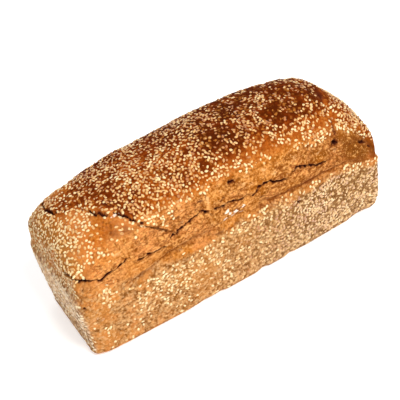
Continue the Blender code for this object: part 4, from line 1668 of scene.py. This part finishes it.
@dataclass(frozen=True)
class CrustFinish:
    """Baked spelt crust: toasted on the crown, open and tan where it tore, pale and specked in the tin, with
    painted shade and floor light.
    """

    torn_light: Screen = (222, 153, 83)
    torn_deep: Screen = (134, 70, 12)
    rose: Screen = (224, 142, 76)
    gold: Screen = (202, 120, 40)
    brown: Screen = (166, 80, 18)
    dark: Screen = (118, 44, 2)
    darkest: Screen = (82, 28, 0)
    glaze: Screen = (196, 122, 50)
    tin_light: Screen = (214, 158, 99)
    # painted shade on the tin walls: in the bump's hollows, where it is partly darker pores, and on their
    # upper part towards +X
    tin_deep: Screen = (136, 80, 30)
    tin_warm: Screen = (202, 128, 56)
    tin_shade: Screen = (136, 94, 54)
    tin_end: Screen = (238, 202, 168)
    # the groove's crease, brown partly as painted shade, and the torn band's fine veins
    fold: Screen = (114, 54, 18)
    bran: Screen = (98, 54, 14)
    meal: Screen = (246, 204, 146)
    straw: Screen = (242, 178, 100)
    amber: Screen = (226, 128, 40)
    amber_deep: Screen = (174, 84, 18)
    olive: Screen = (160, 106, 46)
    # painted light thrown up from the floor onto the walls' foot
    painted_floor_light: Screen = (240, 206, 164)
    seam: Screen = (92, 36, 18)
    # painted shade deep in the tears and pits
    hole_shade: Screen = (44, 14, 10)
    flour: Screen = (246, 232, 212)
    # dark stains, and painted shadow under the +X end's ledge
    stain_and_shade: Screen = (120, 62, 32)
    # scorched crust, and painted shade at the +X end's corners
    scorch_and_shade: Screen = (120, 64, 14)

    def material(self) -> bpy.types.Material:
        """The crust's material: crown, torn band and tin walls, then the marks and painted shade that lie
        over all of them.

        Returns:
            The material.
        """
        sheet = Sheet("spelt_crust")
        place = sheet.position()
        broad = sheet.noise(place, 26 * MM, 3)
        mottle = sheet.noise(place, 8 * MM, 3, 0.6)
        grain = sheet.noise(place, 3.1 * MM, 2, 0.6)
        dust = sheet.noise(place, 1.8 * MM, 1)
        crumb = sheet.noise(place, 2.0 * MM, 2, 0.65)
        speck = sheet.noise(place, 1.7 * MM, 2, 0.7)
        shaken = sheet.shaken(place, 1.4 * MM, 2.4 * MM)
        spot = sheet.flecks(shaken, 2.2 * MM).rising(0.66, 0.36)
        fleck_tone = sheet.flecks(shaken, 2.2 * MM, "Color")
        crust_map = sheet.attribute("crust_map", "Vector")
        drawn = sheet.noise(sheet.stretched(crust_map, (0.4, 1.0, 1.0)), 3.4 * MM, 3, 0.6)
        vein = sheet.noise(sheet.stretched(crust_map, (0.45, 1.0, 1.0)), 6 * MM, 3, 0.6)

        names = "toast", "amber", "torn", "along", "mealy", "low", "end_wall", "seam", "flour"
        toast, amber, torn, along, mealy, low, end_wall, seam, flour = map(sheet.attribute, names)
        left = along.rising(-0.3, -0.6)
        coarse = grain.rising(-0.2, 0.1)
        open_share = toast.rising(0.42, 0.15)
        amber_share = amber * (0.8 + 0.9 * broad) * (0.4 + 0.6 * coarse)
        amber_tone = (0.4 * mottle + 0.9 * crumb + 0.6 * dust).rising(-0.15, 0.13)
        amber_tone = sheet.mixed(amber_tone, self.amber_deep, self.amber)

        shoulder = along.rising(-0.7, -0.82) * (0.9 * mottle + 0.6 * grain).rising(-0.23, 0.1)
        crown = sheet.layered(
            sheet.ramp(
                toast + 0.5 * mottle + 0.5 * grain + 0.3 * broad + 0.35 * dust,
                ((0.02, self.gold), (0.4, self.brown), (0.66, self.dark), (0.95, self.darkest)),
            ),
            (self.glaze, 0.7 * spot * fleck_tone.rising(0.54, 0.66) * mottle.rising(-0.15, 0.1)),
            (self.darkest, 0.6 * spot * fleck_tone.rising(0.4, 0.3)),
            (self.rose, open_share * (0.8 * broad + 0.5 * grain).rising(-0.1, 0.15)),
            (amber_tone, 0.85 * amber_share),
            (self.olive, 0.85 * shoulder),
        )

        streak = 0.22 * sheet.attribute("streak") + 1.1 * drawn + 1.6 * crumb + 0.6 * grain + 0.6 * mottle
        streak = streak + 0.8 * dust - 0.28 * along.rising(0.0, 0.75) + 0.16 * along.rising(-0.35, -0.7)
        opened = sheet.layered(
            sheet.mixed(streak.rising(-0.3, 0.29), self.torn_deep, self.torn_light),
            (self.rose, (0.55 * broad.rising(-0.08, 0.1) + 0.4 * left) * coarse),
            (self.gold, 0.4 * broad.rising(0.0, -0.14)),
            (self.torn_deep, drawn.rising(-0.04, -0.18) * (0.75 - 0.4 * left)),
            (self.meal, 0.4 * (0.5 * mottle + 0.5 * drawn).rising(0.05, 0.16)),
            (amber_tone, 0.55 * amber_share),
        )

        speckle = (0.25 * mottle + 0.75 * grain + 0.35 * dust).rising(-0.14, 0.14)
        warm = (0.6 * broad + 0.4 * mottle).rising(-0.04, 0.1) * (0.45 + 0.35 * left)
        # painted floor light: the long walls paler towards their foot
        floor_lit = low * mealy.rising(0.3, 0.9) * (1 - end_wall)
        tin = sheet.layered(
            sheet.mixed(speckle, self.tin_deep, self.tin_light),
            (self.tin_warm, warm * mealy.rising(1.0, 0.4)),
            (self.rose, 0.36 * left * mottle.rising(-0.04, 0.12) * (1 - end_wall)),
            # painted shade in the bump's hollows on the mealy walls, partly darker pores
            (self.tin_shade, mealy.rising(0.4, 1.0) * (0.86 - 2.2 * grain - 1.2 * dust)),
            (self.painted_floor_light, floor_lit * (0.14 + 1.2 * grain)),
            # painted shade: the walls' upper part darker towards +X, the other end of the painted floor light
            (self.tin_shade, 0.8 * (1 - low) * along.rising(0.0, 0.4) * mottle.rising(-0.2, 0.1)),
            # the end walls paler and greyer, less so towards the foot
            (self.tin_end, end_wall * (0.74 - 0.66 * low + 3.2 * grain + 2.0 * mottle)),
        )

        patchiness = (0.6 * grain + 0.4 * mottle + 0.3 * dust).rising(0.1, -0.08)
        crumbly = 0.6 * open_share + 0.6 * torn + 0.55 * amber
        fine_line = vein.size().rising(0.04, 0.0) * broad.rising(-0.12, 0.02)
        powder = (flour + 1.6 * grain + 1.6 * dust).rising(0.34, 0.7) * flour.rising(0.02, 0.2)
        colour = sheet.layered(
            crown,
            (opened, torn),
            # scorched crust, partly painted shade at the +X end's corners
            (self.scorch_and_shade, sheet.attribute("scorch_and_shade") * (0.5 + 0.5 * patchiness)),
            (tin, sheet.attribute("baked")),
            (self.bran, speck.rising(0.06, 0.18) * crumbly * (0.6 - 0.3 * left)),
            (self.straw, 0.6 * speck.rising(-0.06, -0.18) * crumbly),
            (self.fold, 0.7 * fine_line * torn),
            (self.bran, 0.75 * fleck_tone.rising(0.42, 0.3) * mealy * spot),
            (self.meal, 0.8 * fleck_tone.rising(0.5, 0.62) * mealy * spot),
            # the groove's crease: partly browner crust, partly painted shade in the groove
            (self.fold, sheet.attribute("fold")),
            # stains, and at the +X end's ledge painted shadow
            (self.stain_and_shade, sheet.attribute("stain_and_shade") * mottle.rising(-0.2, 0.1)),
            (self.seam, seam),
            # painted shade: the deepest middle of each tear and pit near black
            (self.hole_shade, 0.8 * seam.rising(0.8, 1.0)),
            (self.flour, 0.9 * powder),
        )
        height = 0.6 * grain + 0.6 * dust + 0.6 * mottle + 0.5 * crumb
        sheet.feed(sheet.shader, {
            "Base Color": colour,
            "Roughness": 0.825 + 0.25 * grain,
            "Specular IOR Level": 0.03,
            "Normal": sheet.bump(height, 0.7 * MM, 0.7),
        })
        return sheet.material


@dataclass(frozen=True)
class SesameFinish:
    """Hulled sesame: cream where the oven was mild and toasted where the crust is dark, with painted shade at
    each seed's foot and painted floor light low on the walls.
    """

    cream: Screen = (252, 226, 168)
    straw: Screen = (230, 176, 102)
    toasted: Screen = (184, 112, 50)
    paler: Screen = (250, 226, 192)
    # each seed's foot: partly glaze and partly painted contact shade
    glaze_and_shade_foot: Screen = (150, 88, 34)

    def material(self) -> bpy.types.Material:
        """The seeds' material.

        Returns:
            The material.
        """
        sheet = Sheet("hulled_sesame")
        place = sheet.position()
        skin = sheet.noise(place, 1.1 * MM, 2)
        broad = sheet.noise(place, 14 * MM, 2)
        names = "tone", "toast", "mealy", "low", "end_wall", "foot"
        tone, toast, mealy, low, end_wall, foot = map(sheet.attribute, names)
        tone = 0.8 * tone + 0.62 * toast - 0.2 + 0.5 * skin + 0.8 * broad + 0.48 * mealy.rising(0.1, 0.9)
        # painted floor light: seeds on the walls paler towards the foot; on the end walls they are paler as
        # well
        tone = tone - 0.12 * low * mealy - 0.45 * end_wall
        colour = sheet.layered(
            sheet.ramp(tone, ((0.1, self.cream), (0.5, self.straw), (0.95, self.toasted))),
            (self.paler, 0.5 * end_wall + 0.25 * mealy.rising(0.6, 1.0)),
            # painted contact shade round each seed's foot, partly glaze climbing it
            (self.glaze_and_shade_foot, 0.6 * foot),
        )
        sheet.feed(sheet.shader, {
            "Base Color": colour,
            "Roughness": 0.52 + 0.2 * skin,
            "Specular IOR Level": 0.35,
            "Sheen Weight": 0.3,
            "Normal": sheet.bump(skin, 0.15 * MM, 0.4),
        })
        return sheet.material


@dataclass(frozen=True)
class FloorFinish:
    """A plain white studio floor."""

    white: float = 0.91
    glow: float = 0.4
    uneven: float = 0.02
    uneven_size: float = 0.4
    roughness: float = 0.9

    def material(self) -> bpy.types.Material:
        """The floor's material, with a faint unevenness.

        Returns:
            The material.
        """
        sheet = Sheet("studio_floor")
        tint = sheet.noise(sheet.position(), self.uneven_size, 1)
        level = self.white + self.uneven * tint
        colour = sheet.node("ShaderNodeCombineColor", {}, {0: level, 1: level, 2: level})
        sheet.feed(sheet.shader, {
            "Base Color": colour,
            "Roughness": self.roughness,
            "Emission Color": (1, 1, 1, 1),
            "Emission Strength": self.glow,
        })
        return sheet.material


# ---- Studio ----

@dataclass(frozen=True)
class SoftLight:
    """A square soft light that looks at the loaf from an azimuth and elevation, in degrees."""

    name: str
    azimuth: float
    elevation: float
    distance: float
    size: float
    power: float
    colour: tuple[float, float, float] = (1.0, 1.0, 1.0)

    def build(self, target: Vector) -> None:
        """Hang the light.

        Args:
            target: the point that it looks at.
        """
        light = bpy.data.lights.new(self.name, "AREA")
        light.size = self.size
        light.energy = self.power
        light.color = self.colour
        lamp = bpy.data.objects.new(self.name, light)
        back = direction(self.azimuth, self.elevation)
        lamp.matrix_world = Matrix.Translation(target + back * self.distance) @ looking(back, 0).to_4x4()
        bpy.context.scene.collection.objects.link(lamp)


def direction(azimuth: float, elevation: float) -> Vector:
    """From the loaf to a viewer: azimuth 0 stands at -Y, and 90 at +X."""
    turn, lift = math.radians(azimuth), math.radians(elevation)
    return Vector((math.sin(turn) * math.cos(lift), -math.cos(turn) * math.cos(lift), math.sin(lift)))


def looking(back: Vector, roll: float) -> Matrix:
    """Axes of a camera or light that looks against 'back', turned about it by a roll in degrees.

    Args:
        back: the direction from what it looks at to it.
        roll: the turn about that, in degrees.

    Returns:
        The right, up and back axes as columns.
    """
    right = Vector((0, 0, 1)).cross(back).normalized()
    up = back.cross(right)
    turn = math.radians(roll)
    right, up = (
        right * math.cos(turn) + up * math.sin(turn),
        up * math.cos(turn) - right * math.sin(turn),
    )
    return Matrix((right, up, back)).transposed()


@dataclass(frozen=True)
class Studio:
    """Camera, soft lights, a white floor and an even white surround."""

    azimuth: float = -23.57
    elevation: float = 37.99
    roll: float = -12.13
    distance: float = 0.7183
    focal_pixels: float = 897.5
    image_pixels: float = 400
    sensor: float = 36.0
    target: tuple[float, float, float] = (-2.23 * MM, 10.43 * MM, 50 * MM)
    surround: float = 0.5
    floor_half: float = 4.0
    floor_level: float = -0.3 * MM
    lights: tuple[SoftLight, ...] = (
        SoftLight("key", 10, 50, 0.95, 0.35, 8.5),
        SoftLight("fill", -60, 35, 1.2, 0.9, 2.5),
        SoftLight("back", 160, 50, 1.2, 0.8, 2.0),
    )

    def build(self) -> None:
        """Set up the studio."""
        target = Vector(self.target)
        for light in self.lights:
            light.build(target)
        self.make_camera(target)
        self.make_floor()
        world = bpy.data.worlds.new("white_surround")
        world.use_nodes = True
        background = world.node_tree.nodes["Background"]
        background.inputs["Color"].default_value = (1, 1, 1, 1)
        background.inputs["Strength"].default_value = self.surround
        scene = bpy.context.scene
        scene.world = world
        scene.view_settings.view_transform = "Standard"

    def make_camera(self, target: Vector) -> None:
        """The camera, at the photograph's angle.

        Args:
            target: the point that it turns round.
        """
        data = bpy.data.cameras.new("camera")
        data.sensor_width = self.sensor
        data.lens = self.focal_pixels * self.sensor / self.image_pixels
        camera = bpy.data.objects.new("camera", data)
        back = direction(self.azimuth, self.elevation)
        axes = looking(back, self.roll).to_4x4()
        camera.matrix_world = Matrix.Translation(target + back * self.distance) @ axes
        bpy.context.scene.collection.objects.link(camera)
        bpy.context.scene.camera = camera

    def make_floor(self) -> None:
        """A wide flat floor just under the loaf."""
        half = self.floor_half
        corners = np.array([(-half, -half), (half, -half), (half, half), (-half, half)])
        points = np.column_stack([corners, np.full(4, self.floor_level)])
        floor = make_object("floor", points, [[0, 1, 2, 3]], {})
        floor.data.materials.append(FloorFinish().material())


# ---- Main ----

def dress(piece: bpy.types.Object, material: bpy.types.Material) -> None:
    """Finish a piece, let it ride on the loaf's body, and let it stand for the loaf's node.

    Args:
        piece: the piece.
        material: its finish.
    """
    piece.data.materials.append(material)
    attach(piece, BODY)
    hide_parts(NODE)
    log.info("%s: %d faces", piece.name, len(piece.data.polygons))


def main() -> None:
    """Make the crust, lay the sesame on it, and set up the studio."""
    logging.basicConfig(level=logging.INFO, format="%(name)s: %(message)s")
    crust = Crust(LoafForm())
    dress(crust.build(), CrustFinish().material())
    sesame = SesameFinish().material()
    for seeds in (CrownSesame(crust), SideSesame(crust), EndSesame(crust)):
        dress(seeds.build(), sesame)
    Studio().build()


if __name__ == "__main__":
    main()
